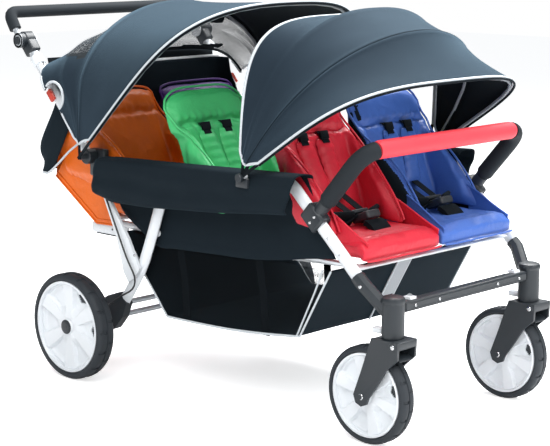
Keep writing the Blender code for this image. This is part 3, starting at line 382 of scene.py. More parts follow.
def bolt(centre, axis, radius=0.004, height=0.003):
    """A domed screw head with a hexagon socket, standing out along axis from centre."""
    deep = height * 0.45
    profile = [(0, deep), (radius * 0.45, deep), (radius * 0.5, height), (radius * 0.8, height * 0.9),
               (radius, height * 0.45), (radius, -0.001), (0, -0.001)]
    return turned(profile, centre, axis, 12)


def joined(*meshes):
    """Several bmeshes as one. A pair (bmesh, slot) gives its faces that material slot."""
    whole = bmesh.new()
    for given in meshes:
        bm, slot = given if isinstance(given, tuple) else (given, 0)
        for face in bm.faces:
            face.material_index = slot
        holder = bpy.data.meshes.new("part")
        bm.to_mesh(holder)
        bm.free()
        whole.from_mesh(holder)
        bpy.data.meshes.remove(holder)
    return whole


def mirrored(bm):
    """A copy on the other side of the stroller's middle plane."""
    other = bm.copy()
    bmesh.ops.scale(other, vec=(1, -1, 1), verts=other.verts)
    bmesh.ops.reverse_faces(other, faces=other.faces)
    return other


def piece(name, bm, finishes, body=None, sharp=40.0, shift=True):
    """A named object from a bmesh in swivel-axis lengths, put in the part's own place."""
    if shift:
        placed(bm, (AXIS_X, 0, 0))
    mesh = bpy.data.meshes.new(name)
    bm.to_mesh(mesh)
    bm.free()
    for finish in finishes if isinstance(finishes, (list, tuple)) else [finishes]:
        mesh.materials.append(finish)
    mesh.shade_smooth()
    if sharp:
        mesh.set_sharp_from_angle(angle=radians(sharp))
    obj = bpy.data.objects.new(name, mesh)
    scene.collection.objects.link(obj)
    if body:
        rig.ride(obj, body)
    return obj


def thickened(obj, thickness, offset=-1.0, inner=None):
    """Gives a sheet its thickness, with another material on its inner face if one is named."""
    shell = obj.modifiers.new("cloth", "SOLIDIFY")
    shell.thickness = thickness
    shell.offset = offset
    if inner is not None:
        shell.material_offset = inner
        shell.material_offset_rim = 0
    return obj


def second_material(obj, where):
    """Gives an object's second material to the faces whose middle passes where."""
    for polygon in obj.data.polygons:
        if where(polygon.center):
            polygon.material_index = 1


def refined(node, finish, width=0.0008, sharp=32.0):
    """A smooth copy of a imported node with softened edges, in place of it."""
    bm = bmesh.new()
    bm.from_mesh(frame["nodes"][node].data)
    bmesh.ops.remove_doubles(bm, verts=bm.verts, dist=2e-5)
    bmesh.ops.dissolve_limit(bm, angle_limit=radians(1.0), verts=bm.verts, edges=bm.edges)
    obj = piece(node + "_finished", bm, finish, frame["nodes"][node]["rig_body"], sharp, shift=False)
    if width:
        soft = obj.modifiers.new("edges", "BEVEL")
        soft.width = width
        soft.segments = 2
        soft.limit_method = "ANGLE"
        soft.angle_limit = radians(sharp)
        soft.harden_normals = True
    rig.replaces(obj, node)
    return obj


# ---------------------------------------------------------------- finishes

def node(tree, kind, links=None, **settings):
    made = tree.nodes.new(kind)
    for key, value in settings.items():
        setattr(made, key, value)
    for key, value in (links or {}).items():
        if isinstance(value, bpy.types.NodeSocket):
            tree.links.new(value, made.inputs[key])
        else:
            made.inputs[key].default_value = value
    return made


def maths(tree, operation, a, b=0.0, clamp=False):
    return node(tree, "ShaderNodeMath", {0: a, 1: b}, operation=operation, use_clamp=clamp).outputs[0]


def speckle(tree, given, scale, detail, **settings):
    """Noise over an effect's own coordinates."""
    return node(tree, "ShaderNodeTexNoise",
                {"Vector": given["Vector"], "Scale": scale, "Detail": detail, **settings}).outputs[0]


def toned_by(tree, given, factor):
    """An effect's own colour, lighter or darker by a factor."""
    return node(tree, "ShaderNodeVectorMath", {0: given["Colour"], "Scale": factor}, operation="SCALE").outputs[0]


def mixed(tree, share, a, b):
    made = node(tree, "ShaderNodeMix", {"Factor": share}, data_type="RGBA")
    for key, value in ((6, a), (7, b)):
        if isinstance(value, bpy.types.NodeSocket):
            tree.links.new(value, made.inputs[key])
        else:
            made.inputs[key].default_value = (*value, 1)
    return made.outputs[2]


def effect(name, inputs, outputs):
    tree = bpy.data.node_groups.new(name, "ShaderNodeTree")
    for label, kind, value in inputs:
        socket = tree.interface.new_socket(label, in_out="INPUT", socket_type=kind)
        if value is not None:
            socket.default_value = value
    for label, kind in outputs:
        tree.interface.new_socket(label, in_out="OUTPUT", socket_type=kind)
    return tree, tree.nodes.new("NodeGroupInput").outputs, tree.nodes.new("NodeGroupOutput").inputs


def weave_effect():
    """A plain weave: threads over and under each other, with slubs, soft creases and faded patches. The raised threads
    are painted lighter and the dips between them darker, as painted light and shade.
    """
    tree, given, result = effect(
        "woven threads",
        [("Vector", "NodeSocketVector", None), ("Thread", "NodeSocketFloat", 0.0012),
         ("Colour", "NodeSocketColor", (0.1, 0.1, 0.1, 1)), ("Faded", "NodeSocketFloat", 0.35),
         ("Creases", "NodeSocketFloat", 0.5)],
        [("Colour", "NodeSocketColor"), ("Roughness", "NodeSocketFloat"), ("Height", "NodeSocketFloat"),
         ("Hole", "NodeSocketFloat")])
    add, less, times = (partial(maths, tree, kind) for kind in ("ADD", "SUBTRACT", "MULTIPLY"))
    size = maths(tree, "DIVIDE", 2 * pi, given["Thread"])
    scaled = node(tree, "ShaderNodeVectorMath", {0: given["Vector"], "Scale": size}, operation="SCALE")
    parts = node(tree, "ShaderNodeSeparateXYZ", {0: scaled.outputs[0]}).outputs
    warp, weft = maths(tree, "SINE", parts[0]), maths(tree, "SINE", parts[1])
    cross = times(warp, weft)
    slub = speckle(tree, given, 420.0, 2.0)
    patch = speckle(tree, given, 5.0, 4.0, Roughness=0.6)
    crease = speckle(tree, given, 16.0, 3.0, Distortion=1.4)
    thread = add(times(cross, 0.22), slub)
    paler = times(less(patch, 0.42), given["Faded"])
    light, dark = toned_by(tree, given, 1.5), toned_by(tree, given, 0.72)
    # The colour follows the threads' height: painted shade in the weave's dips and painted light on its raised threads,
    # over the real slubs and faded patches.
    tree.links.new(mixed(tree, add(times(thread, 0.45), paler, clamp=True), dark, light), result["Colour"])
    tree.links.new(add(0.74, times(slub, 0.2)), result["Roughness"])
    tree.links.new(add(thread, times(crease, times(given["Creases"], 6.0))), result["Height"])
    apart = add(maths(tree, "ABSOLUTE", warp), maths(tree, "ABSOLUTE", weft))
    tree.links.new(maths(tree, "GREATER_THAN", apart, 1.25), result["Hole"])
    return tree


def grain_effect():
    """Pressed leathercloth: small pebbles, fine pulls and softer, paler patches where it is rubbed. The grooves between
    the pebbles are painted darker, as painted shade.
    """
    tree, given, result = effect(
        "leather grain",
        [("Vector", "NodeSocketVector", None), ("Pebble", "NodeSocketFloat", 650.0),
         ("Colour", "NodeSocketColor", (0.5, 0.1, 0.1, 1)), ("Creases", "NodeSocketFloat", 0.6)],
        [("Colour", "NodeSocketColor"), ("Roughness", "NodeSocketFloat"), ("Height", "NodeSocketFloat")])
    pebble = node(tree, "ShaderNodeTexVoronoi", {"Vector": given["Vector"], "Scale": given["Pebble"]},
                  feature="SMOOTH_F1").outputs[0]
    add, times = (partial(maths, tree, kind) for kind in ("ADD", "MULTIPLY"))
    fold = speckle(tree, given, 21.0, 4.0, Roughness=0.55, Distortion=1.1)
    rub = speckle(tree, given, 7.0, 3.0)
    light, dark = toned_by(tree, given, 1.25), toned_by(tree, given, 0.78)
    # Painted shade: the colour darkens away from each pebble's top into the grooves, as the height does; the rubbed
    # patches are the cloth's own wear.
    share = add(times(rub, 0.7), times(pebble, -0.35), clamp=True)
    tree.links.new(mixed(tree, share, dark, light), result["Colour"])
    tree.links.new(add(0.30, times(rub, 0.24)), result["Roughness"])
    folds = times(fold, times(given["Creases"], 9.0))
    tree.links.new(add(times(pebble, -0.5), folds), result["Height"])
    return tree


def surface_effect():
    """Moulded, foamed or coated skin: a fine texture, handled patches and sparse scuffs."""
    tree, given, result = effect(
        "worked skin",
        [("Vector", "NodeSocketVector", None), ("Fine", "NodeSocketFloat", 900.0),
         ("Colour", "NodeSocketColor", (0.5, 0.5, 0.5, 1)), ("Scuffed", "NodeSocketColor", (0.6, 0.6, 0.6, 1)),
         ("Scuffs", "NodeSocketFloat", 0.3), ("Roughness", "NodeSocketFloat", 0.4)],
        [("Colour", "NodeSocketColor"), ("Roughness", "NodeSocketFloat"), ("Height", "NodeSocketFloat")])
    add, less, times = (partial(maths, tree, kind) for kind in ("ADD", "SUBTRACT", "MULTIPLY"))
    fine = speckle(tree, given, given["Fine"], 2.0)
    hand = speckle(tree, given, 9.0, 4.0)
    scratch = speckle(tree, given, 75.0, 5.0, Roughness=0.7, Distortion=0.8)
    marks = times(less(scratch, 0.62, clamp=True), times(given["Scuffs"], 9.0), clamp=True)
    toned = mixed(tree, times(hand, 0.16), given["Colour"], given["Scuffed"])
    tree.links.new(mixed(tree, marks, toned, given["Scuffed"]), result["Colour"])
    rough = add(given["Roughness"], times(less(hand, 0.5), 0.22))
    tree.links.new(add(rough, times(marks, 0.2), clamp=True), result["Roughness"])
    tree.links.new(less(fine, times(marks, 0.6)), result["Height"])
    return tree


WEAVE, GRAIN, SKIN = weave_effect(), grain_effect(), surface_effect()


def started(name, **sockets):
    made = bpy.data.materials.new(name)
    made.use_nodes = True
    tree = made.node_tree
    shader = tree.nodes["Principled BSDF"]
    for key, value in sockets.items():
        shader.inputs[key.replace("_", " ")].default_value = value
    return made, tree, shader


def use_effect(tree, shader, kind, inputs, bump, distance, coordinates="Object"):
    place = node(tree, "ShaderNodeTexCoord").outputs[coordinates]
    worked = node(tree, "ShaderNodeGroup", node_tree=kind)
    tree.links.new(place, worked.inputs["Vector"])
    for key, value in inputs.items():
        worked.inputs[key].default_value = value if not isinstance(value, tuple) else (*value, 1)
    tree.links.new(worked.outputs["Colour"], shader.inputs["Base Color"])
    tree.links.new(worked.outputs["Roughness"], shader.inputs["Roughness"])
    raised = node(tree, "ShaderNodeBump", {"Strength": bump, "Distance": distance, "Height": worked.outputs["Height"]})
    tree.links.new(raised.outputs[0], shader.inputs["Normal"])
    return worked


def woven(name, colour, thread=0.0012, faded=0.35, creases=0.5, sheen=0.25, open_mesh=False, coordinates="UV"):
    made, tree, shader = started(name, Sheen_Weight=sheen, Sheen_Roughness=0.5, Sheen_Tint=(0.50, 0.78, 1.0, 1),
                                 Specular_IOR_Level=0.05)
    worked = use_effect(tree, shader, WEAVE, {"Colour": colour, "Thread": thread, "Faded": faded,
                                              "Creases": creases}, 0.5, 0.0006, coordinates)
    if open_mesh:
        tree.links.new(maths(tree, "SUBTRACT", 1.0, worked.outputs["Hole"]), shader.inputs["Alpha"])
    return made


def leathercloth(name, colour):
    made, tree, shader = started("leathercloth_" + name, Specular_IOR_Level=0.32, Coat_Weight=0.06, Coat_Roughness=0.3)
    use_effect(tree, shader, GRAIN, {"Colour": colour}, 0.42, 0.0012)
    return made


def skinned(name, colour, scuffed, roughness, fine=900.0, scuffs=0.3, bump=0.2, distance=0.0004, **sockets):
    made, tree, shader = started(name, **sockets)
    use_effect(tree, shader, SKIN, {"Colour": colour, "Scuffed": scuffed, "Roughness": roughness, "Fine": fine,
                                    "Scuffs": scuffs}, bump, distance)
    return made


HOOD_GREY = woven("hood_cloth", (0.0150, 0.0238, 0.0345), thread=0.0011, faded=0.5, creases=0.25, sheen=0.2)
HOOD_LINING = woven("hood_lining", (0.006, 0.008, 0.010), thread=0.0010, creases=0.3, sheen=0.03)
BLACK_CLOTH = woven("black_cloth", (0.0095, 0.0150, 0.0200), thread=0.0013, faded=0.3, creases=0.5, sheen=0.04)
BLACK_MESH = woven("black_mesh", (0.006, 0.008, 0.010), thread=0.0034, creases=0.2, sheen=0.02, open_mesh=True)
WINDOW_MESH = woven("window_mesh", (0.05, 0.053, 0.056), thread=0.0050, creases=0.2, sheen=0.1, open_mesh=True)
WHITE_PIPING = woven("reflective_piping", (0.62, 0.66, 0.69), thread=0.0016, faded=0.15, creases=0.05, sheen=0.1,
                     coordinates="Object")
BLACK_WEBBING = woven("black_webbing", (0.007, 0.009, 0.011), thread=0.0016, creases=0.05, sheen=0.04,
                      coordinates="Object")
GREY_TAPE = woven("grey_tape", (0.24, 0.26, 0.28), thread=0.0016, creases=0.05, sheen=0.1, coordinates="Object")
PALE_TAPE = woven("pale_tape", (0.40, 0.42, 0.44), thread=0.0040, creases=0.1, sheen=0.1, coordinates="Object")
WHITE_PAINT = skinned("white_paint", (0.74, 0.77, 0.80), (0.62, 0.64, 0.66), 0.28, fine=320.0, scuffs=0.12, bump=0.06,
                      Coat_Weight=0.35, Coat_Roughness=0.18)
SILVER_PAINT = skinned("silver_paint", (0.50, 0.53, 0.56), (0.40, 0.42, 0.44), 0.34, fine=700.0, scuffs=0.2, bump=0.06,
                       Metallic=0.35)
BLACK_PLASTIC = skinned("black_plastic", (0.012, 0.017, 0.022), (0.05, 0.055, 0.06), 0.44, fine=1400.0, scuffs=0.22,
                        bump=0.22)
WHITE_PLASTIC = skinned("rim_plastic", (0.76, 0.79, 0.82), (0.60, 0.62, 0.63), 0.36, fine=600.0, scuffs=0.18, bump=0.08)
BLACK_FOAM = skinned("black_foam", (0.013, 0.017, 0.021), (0.045, 0.05, 0.055), 0.80, fine=420.0, scuffs=0.1, bump=0.5,
                     distance=0.0006, Specular_IOR_Level=0.2)
RED_FOAM = skinned("red_foam", (0.82, 0.035, 0.055), (0.86, 0.16, 0.17), 0.62, fine=420.0, scuffs=0.06, bump=0.45,
                   distance=0.0006, Specular_IOR_Level=0.4)
TYRE_FOAM = skinned("tyre_foam", (0.016, 0.021, 0.027), (0.06, 0.065, 0.07), 0.62, fine=260.0, scuffs=0.35, bump=0.4,
                    distance=0.0006, Specular_IOR_Level=0.4)
DARK_METAL = skinned("dark_metal", (0.020, 0.024, 0.028), (0.08, 0.08, 0.09), 0.38, scuffs=0.2, bump=0.1)
STEEL = skinned("screw_steel", (0.62, 0.63, 0.64), (0.40, 0.41, 0.42), 0.24, fine=1500.0, scuffs=0.3, bump=0.1,
                Metallic=1.0)
RED_PLASTIC = skinned("red_plastic", (0.55, 0.045, 0.025), (0.60, 0.12, 0.08), 0.30, fine=900.0, scuffs=0.15, bump=0.1)
CABLE_BLACK = skinned("cable_sheath", (0.014, 0.015, 0.017), (0.05, 0.05, 0.05), 0.45, fine=900.0, scuffs=0.1)
LEATHER = {
    "red": leathercloth("red", (0.70, 0.022, 0.045)),
    "blue": leathercloth("blue", (0.060, 0.152, 0.52)),
    "green": leathercloth("green", (0.060, 0.52, 0.17)),
    "yellow": leathercloth("yellow", (0.82, 0.55, 0.04)),
    "orange": leathercloth("orange", (0.86, 0.155, 0.006)),
    "purple": leathercloth("purple", (0.075, 0.022, 0.19)),
}
SEAT_COLOURS = {("front", "right"): "red", ("front", "left"): "blue", ("middle", "right"): "green",
                ("middle", "left"): "yellow", ("rear", "right"): "orange", ("rear", "left"): "purple"}


# ---------------------------------------------------------------- wheels and casters

FRONT_RADIUS, FRONT_WIDTH, FRONT_RIM = 0.120, 0.045, 0.103
REAR_RADIUS, REAR_WIDTH, REAR_RIM = 0.145, 0.053, 0.125
FRONT_HUB, FRONT_HUB_HALF, FRONT_WINDOW = 0.021, 0.0265, 15  # hub radius, half its width, angle of the rim's window
REAR_HUB, REAR_HUB_HALF, REAR_WINDOW = 0.024, 0.025, 0
SWIVEL_Y, TRAIL = 0.268, 0.066
KNUCKLE_X, KNUCKLE_Z, KNUCKLE_HALF = 0.029, 0.2560, 0.0365
REAR_AXLE_X, REAR_WHEEL_Y = -1.017, 0.394


def tyre(radius, width, bore, centre):
    """A foam tyre with rounded shoulders and a tread of staggered blocks."""
    w = width / 2
    profile = both_sides([(bore, -w + 0.004), (bore + 0.003, -w), (radius - 0.011, -w), (radius - 0.004, -w + 0.0035),
                          (radius - 0.001, -w + 0.009), (radius, -w * 0.42), (radius - 0.0006, -0.0022),
                          (radius - 0.0028, -0.0012)])
    bm = turned([*profile, profile[0]], (0, 0, 0), (0, 1, 0), 96)
    bm.faces.ensure_lookup_table()
    slots = {0: [], 1: []}
    for face in bm.faces:
        middle = face.calc_center_median()
        reach = (middle.x ** 2 + middle.z ** 2) ** 0.5
        if reach < radius - 0.0075 or abs(middle.y) < 0.003 or abs(middle.y) > w - 0.002:
            continue
        step = int((degrees(atan2(middle.z, middle.x)) % 360) / 3.75)
        if step % 6 == (0 if middle.y < 0 else 3):
            slots[0 if middle.y < 0 else 1].append(face)
    for group in slots.values():
        bmesh.ops.inset_region(bm, faces=group, thickness=0.0009, depth=0.0)
        inner = [f for f in group if f.is_valid]
        moved = {v for f in inner for v in f.verts}
        for vert in moved:
            out = Vector((vert.co.x, 0, vert.co.z)).normalized()
            vert.co -= out * 0.0026
    return placed(bm, centre)


def rim(radius, width, centre, hub_radius, hub_half, first):
    """A moulded rim: barrel, dished face with six broad spokes and pockets between them. Two pockets are windows, and a
    dark disc across the rim's middle is painted shade behind them.
    """
    w = width / 2 - 0.002
    lip = both_sides([(radius - 0.001, -w), (radius - 0.006, -w - 0.001), (radius - 0.009, -w + 0.003),
                      (radius - 0.008, -w + 0.012)], (radius - 0.007, 0))
    barrel = turned([*lip, lip[0]], (0, 0, 0), (0, 1, 0), 72)
    inner, outer = hub_radius * 0.9, radius - 0.0075

    def height(share, angle):
        lobe = -cos(6 * (angle - first))
        spoke = fade(lobe, -0.52 + 0.75 * share, -0.20 + 0.75 * share)
        dish = 0.018 - 0.004 * sin(pi * min(share, 1))
        pocket = 0.018 - 0.0145 * fade(share, 0.10, 0.42) + 0.0085 * fade(share, 0.86, 0.93)
        return pocket + (dish - pocket) * spoke

    def place(u, v):
        angle, reach = 2 * pi * u, inner + (outer - inner) * v
        return Vector((reach * cos(angle), -height(v, angle), reach * sin(angle)))

    face = cloth_grid(216, 26, place, (1, 1))
    bmesh.ops.remove_doubles(face, verts=face.verts, dist=1e-5)
    gone = []
    for f in face.faces:
        c = f.calc_center_median()
        angle = atan2(c.z, c.x)
        share = ((c.x ** 2 + c.z ** 2) ** 0.5 - inner) / (outer - inner)
        turn = (angle - first) / (pi / 3)
        off = abs(turn - round(turn)) * 60
        if round(turn) % 6 in (0, 1) and abs(share - 0.75) / 0.15 + off / 12.5 < 1:
            gone.append(f)
    bmesh.ops.delete(face, geom=gone, context="FACES")
    walls = [e for e in face.edges if e.is_boundary and 0.3 < ((e.verts[0].co.x ** 2 + e.verts[0].co.z ** 2) ** 0.5
                                                                - inner) / (outer - inner) < 0.95]
    grown = bmesh.ops.extrude_edge_only(face, edges=walls)["geom"]
    for vert in [g for g in grown if isinstance(g, bmesh.types.BMVert)]:
        vert.co.y = 0
    bmesh.ops.recalc_face_normals(face, faces=face.faces)
    if sum(f.normal.y * f.calc_area() for f in face.faces) > 0:
        bmesh.ops.reverse_faces(face, faces=face.faces)
    back = mirrored(face)
    hub = turned(both_sides([(0, -hub_half), (hub_radius * 0.72, -hub_half), (hub_radius * 0.8, -hub_half + 0.002),
                             (hub_radius, -0.012)]), (0, 0, 0), (0, 1, 0), 48)
    whole = joined(barrel, face, back, hub)
    bmesh.ops.remove_doubles(whole, verts=whole.verts, dist=1e-5)
    # Painted shade: a thin dark disc across the rim's middle stands in for the shaded inside of the wheel seen through
    # the windows.
    shade_disc = turned(both_sides([(hub_radius * 0.5, -0.0004), (radius - 0.008, -0.0004)]), (0, 0, 0), (0, 1, 0), 48)
    return placed(joined((whole, 0), (shade_disc, 1)), centre)


def wheels():
    for side, s in SIDES.items():
        for end, radius, width, bore, x, y, hub, hub_half, window in (
                ("front", FRONT_RADIUS, FRONT_WIDTH, FRONT_RIM, -TRAIL, SWIVEL_Y, FRONT_HUB, FRONT_HUB_HALF,
                 FRONT_WINDOW),
                ("rear", REAR_RADIUS, REAR_WIDTH, REAR_RIM, REAR_AXLE_X, REAR_WHEEL_Y, REAR_HUB, REAR_HUB_HALF,
                 REAR_WINDOW)):
            body = f"{end}_wheel_{side}"
            centre = Vector((x, s * y, radius))
            made = piece(f"{body}_tyre_foam", tyre(radius, width, bore, centre), TYRE_FOAM, body)
            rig.replaces(made, f"{body}_tyre")
            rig.slot(made, "tyre_foam")
            # The rim's second material is the dark disc of painted shade behind its windows.
            made = piece(f"{body}_moulded_rim", rim(bore, width, centre, hub, hub_half, radians(window)),
                         [WHITE_PLASTIC, BLACK_PLASTIC], body, 50)
            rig.replaces(made, f"{body}_rim")
            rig.slot(made, "rim_plastic")
            if end == "rear":
                face = centre + Vector((0, s * (hub_half - 0.001), 0))
                cap = turned([(0.0195, 0), (0.0195, 0.0020), (0.0175, 0.0036), (0.0095, 0.0042), (0, 0.0040)], face,
                             (0, s, 0), 32)
                piece(f"{body}_hub_cap", cap, BLACK_PLASTIC, body)


def casters():
    for side, s in SIDES.items():
        y = s * SWIVEL_Y
        refined(f"caster_fork_{side}", BLACK_PLASTIC, 0.0022, 40)
        refined(f"caster_socket_{side}", BLACK_PLASTIC, 0.0016, 40)
        refined(f"swivel_lock_{side}", WHITE_PLASTIC, 0.0016, 40)
        arch = []
        axle = Vector((-TRAIL, y, FRONT_RADIUS))
        for k in range(15):
            a = radians(43 + 38 * k / 14)
            arch.append(axle + Vector((cos(a), 0, sin(a))) * (FRONT_RADIUS + 0.0065 + 0.022 * (1 - fade(k, 0, 9))))
        guard = webbing(arch, 0.047, 0.0028, (0, 1, 0))
        bmesh.ops.bevel(guard, geom=guard.edges[:], offset=0.0009, segments=2, affect="EDGES", profile=0.5, material=-1)
        knuckle = drum(0.0125, KNUCKLE_HALF, (KNUCKLE_X, y, KNUCKLE_Z), (0, 1, 0), 32)
        bolts = [bolt((KNUCKLE_X, y + e * KNUCKLE_HALF, KNUCKLE_Z), (0, e, 0), 0.0062, 0.0030) for e in (-1, 1)]
        bolts += [bolt((-TRAIL, y + e * 0.0353, FRONT_RADIUS), (0, e, 0), 0.0078, 0.0036) for e in (-1, 1)]
        piece(f"caster_guard_{side}", joined((guard, 0), (knuckle, 0), *[(b, 1) for b in bolts]),
              [BLACK_PLASTIC, STEEL], f"caster_{side}")
        cap = turned([(0, 0.0045), (0.020, 0.0040), (0.0262, 0.0015), (0.0285, -0.004), (0.0285, -0.010),
                      (0.0262, -0.013)], (0, y, 0.3625), (0, 0, 1), 32)
        piece(f"caster_cap_{side}", cap, BLACK_PLASTIC, "frame")


# ---------------------------------------------------------------- frame

RAIL_Y, UPRIGHT_Y = 0.303, 0.328
FRONT_PIVOT, REAR_PIVOT = (-0.400, 0.611), (-1.015, 0.600)  # X and Z of the hoods' pivots; the handle folds on the rear
ADJUSTER = Vector((-1.273, 0, 0.898))
UPRIGHT = (ADJUSTER - Vector((REAR_PIVOT[0], 0, REAR_PIVOT[1]))).normalized()
ADJUSTER_COVER_Y, HINGE_COVER_Y = 0.3593, 0.3418
GRIP_RADIUS = 0.0165
LEG_TOP, LEG_END = Vector((-0.292, 0, 0.603)), Vector((-0.080, 0, 0.407))
BLACK_BELOW = 0.640  # the height under which the uprights are their black hinge ends
BOW_FEET = 0.690  # the height under which the hood bows are their black feet


def frame_parts():
    for side in SIDES:
        rail = refined(f"side_rail_{side}", [WHITE_PAINT, BLACK_PLASTIC], 0.0016, 50)
        second_material(rail, lambda c: c.x - AXIS_X < -0.972 and c.z < 0.630)
        refined(f"rear_leg_{side}", WHITE_PAINT, 0.0016, 50)
        strut = refined(f"rear_strut_{side}", WHITE_PAINT, 0.0012, 40)
        for vert in strut.data.vertices:
            behind = vert.co.x - AXIS_X < -0.856 - (vert.co.z - 0.300) * 0.55
            vert.co.x += (0.020 if behind else 0.008) * fade(vert.co.z, 0.27, 0.36)
        refined(f"hub_bracket_{side}", BLACK_PLASTIC, 0.0018, 40)
        refined(f"bar_clamp_{side}", BLACK_PLASTIC, 0.0016, 40)
        refined(f"fold_release_{side}", RED_PLASTIC, 0.0012, 40)
        refined(f"adjuster_button_{side}", BLACK_PLASTIC, 0.0008, 40)
    refined("front_crossbar", BLACK_PLASTIC, 0.0022, 40)
    refined("rear_axle_frame", SILVER_PAINT, 0.0004, 50)
    upright = refined("handle_frame", [WHITE_PAINT, BLACK_PLASTIC], 0.0006, 50)
    second_material(upright, lambda c: c.z < BLACK_BELOW)
    refined("handlebar", SILVER_PAINT, 0.0010, 50)
    seat_tubes()
    for name in ("front_hood_rear_bow", "front_hood_middle_bow", "front_hood_front_bow", "rear_hood_rear_bow",
                 "rear_hood_front_bow"):
        second_material(refined(name, [GREY_TAPE, BLACK_WEBBING], 0.0, 60), lambda c: c.z < BOW_FEET)


def seat_tubes():
    """The tubes under the seats. The front one is pressed flat under the cushions, and its braces are left out."""
    bm = bmesh.new()
    bm.from_mesh(frame["nodes"]["seat_frame"].data)
    bmesh.ops.remove_doubles(bm, verts=bm.verts, dist=2e-5)
    placed(bm, (-AXIS_X, 0, 0))
    middles = [(face, face.calc_center_median()) for face in bm.faces]
    braces = [face for face, at in middles if 0.366 < at.z < 0.402 and abs(at.y) < 0.26]
    bmesh.ops.delete(bm, geom=braces, context="FACES")
    bmesh.ops.holes_fill(bm, edges=[e for e in bm.edges if e.is_boundary])
    for vert in bm.verts:
        if vert.co.x > -0.1065 and vert.co.z > 0.4035:
            vert.co.z = 0.4238 - (0.4238 - vert.co.z) * 0.45
    bmesh.ops.dissolve_limit(bm, angle_limit=radians(1.0), verts=bm.verts, edges=bm.edges)
    bmesh.ops.recalc_face_normals(bm, faces=bm.faces)
    ends = []
    for s in (-1, 1):
        ends.append((block((-1.003, s * 0.2685, 0.3935), (0.150, 0.005, 0.027), bevel=0.0015), 0))
        ends.append((block((-1.000, s * 0.2675, 0.3785), (0.120, 0.007, 0.004), bevel=0.001), 1))
        ends.append((bolt((-0.992, s * 0.2709, 0.395), (0, s, 0), 0.0030, 0.0012), 1))
    piece("seat_rail_ends", joined(*ends), [WHITE_PAINT, BLACK_PLASTIC], "frame", 50)
    obj = piece("seat_frame_finished", bm, WHITE_PAINT, "frame", 50)
    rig.replaces(obj, "seat_frame")


def fasteners():
    """Rivets, screws and the grooved front edge, placed on the faces that carry them."""
    heads = []
    slope = (LEG_TOP - LEG_END).normalized()
    for s in (-1, 1):
        def leg(share, off=0.0):
            return LEG_END.lerp(LEG_TOP, share) + Vector((0, s * (RAIL_Y + 0.011), 0)) \
                + Vector((slope.z, 0, -slope.x)) * off

        for share in (0.22, 0.40):
            heads.append(bolt(leg(share), (0, s, 0), 0.0034, 0.0018))
        for off in (-0.009, 0.011):
            heads.append(bolt(leg(0.605, off) + Vector((0, s * 0.0073, 0)), (0, s, 0), 0.0040, 0.0022))
        heads.append(bolt(leg(-0.10) + Vector((0, s * 0.004, 0)), (0, s, 0), 0.0046, 0.0026))
        heads.append(bolt((-0.842, s * 0.3243, 0.352), (0, s, 0), 0.0034, 0.0018))
        heads.append(bolt((-0.762, s * 0.3142, 0.49), (0, s, 0), 0.0030, 0.0016))
        heads.append(bolt((-0.984, s * 0.3243, 0.548), (0, s, 0), 0.0040, 0.0022))
        for y in (0.115, 0.205):
            heads.append(bolt((0.015, s * y, 0.337), (1, 0, 0), 0.0036, 0.0020))
        heads.append(bolt((-1.006, s * 0.262, 0.423), (0, 0, 1), 0.0030, 0.0012))
    piece("frame_rivets", joined(*heads), STEEL, "frame")
    grooves = []
    for z in (0.3437, 0.3312):
        strip = block((0.0152, 0, z), (0.0012, 0.44, 0.0022), bevel=0.0005)
        grooves.append(strip)
    for x in (-0.008, -0.003, 0.002, 0.007):
        grooves.append(block((x, 0, 0.3502), (0.0022, 0.36, 0.0010), bevel=0.0004))
    piece("crossbar_ribs", joined(*grooves), BLACK_PLASTIC, "frame")


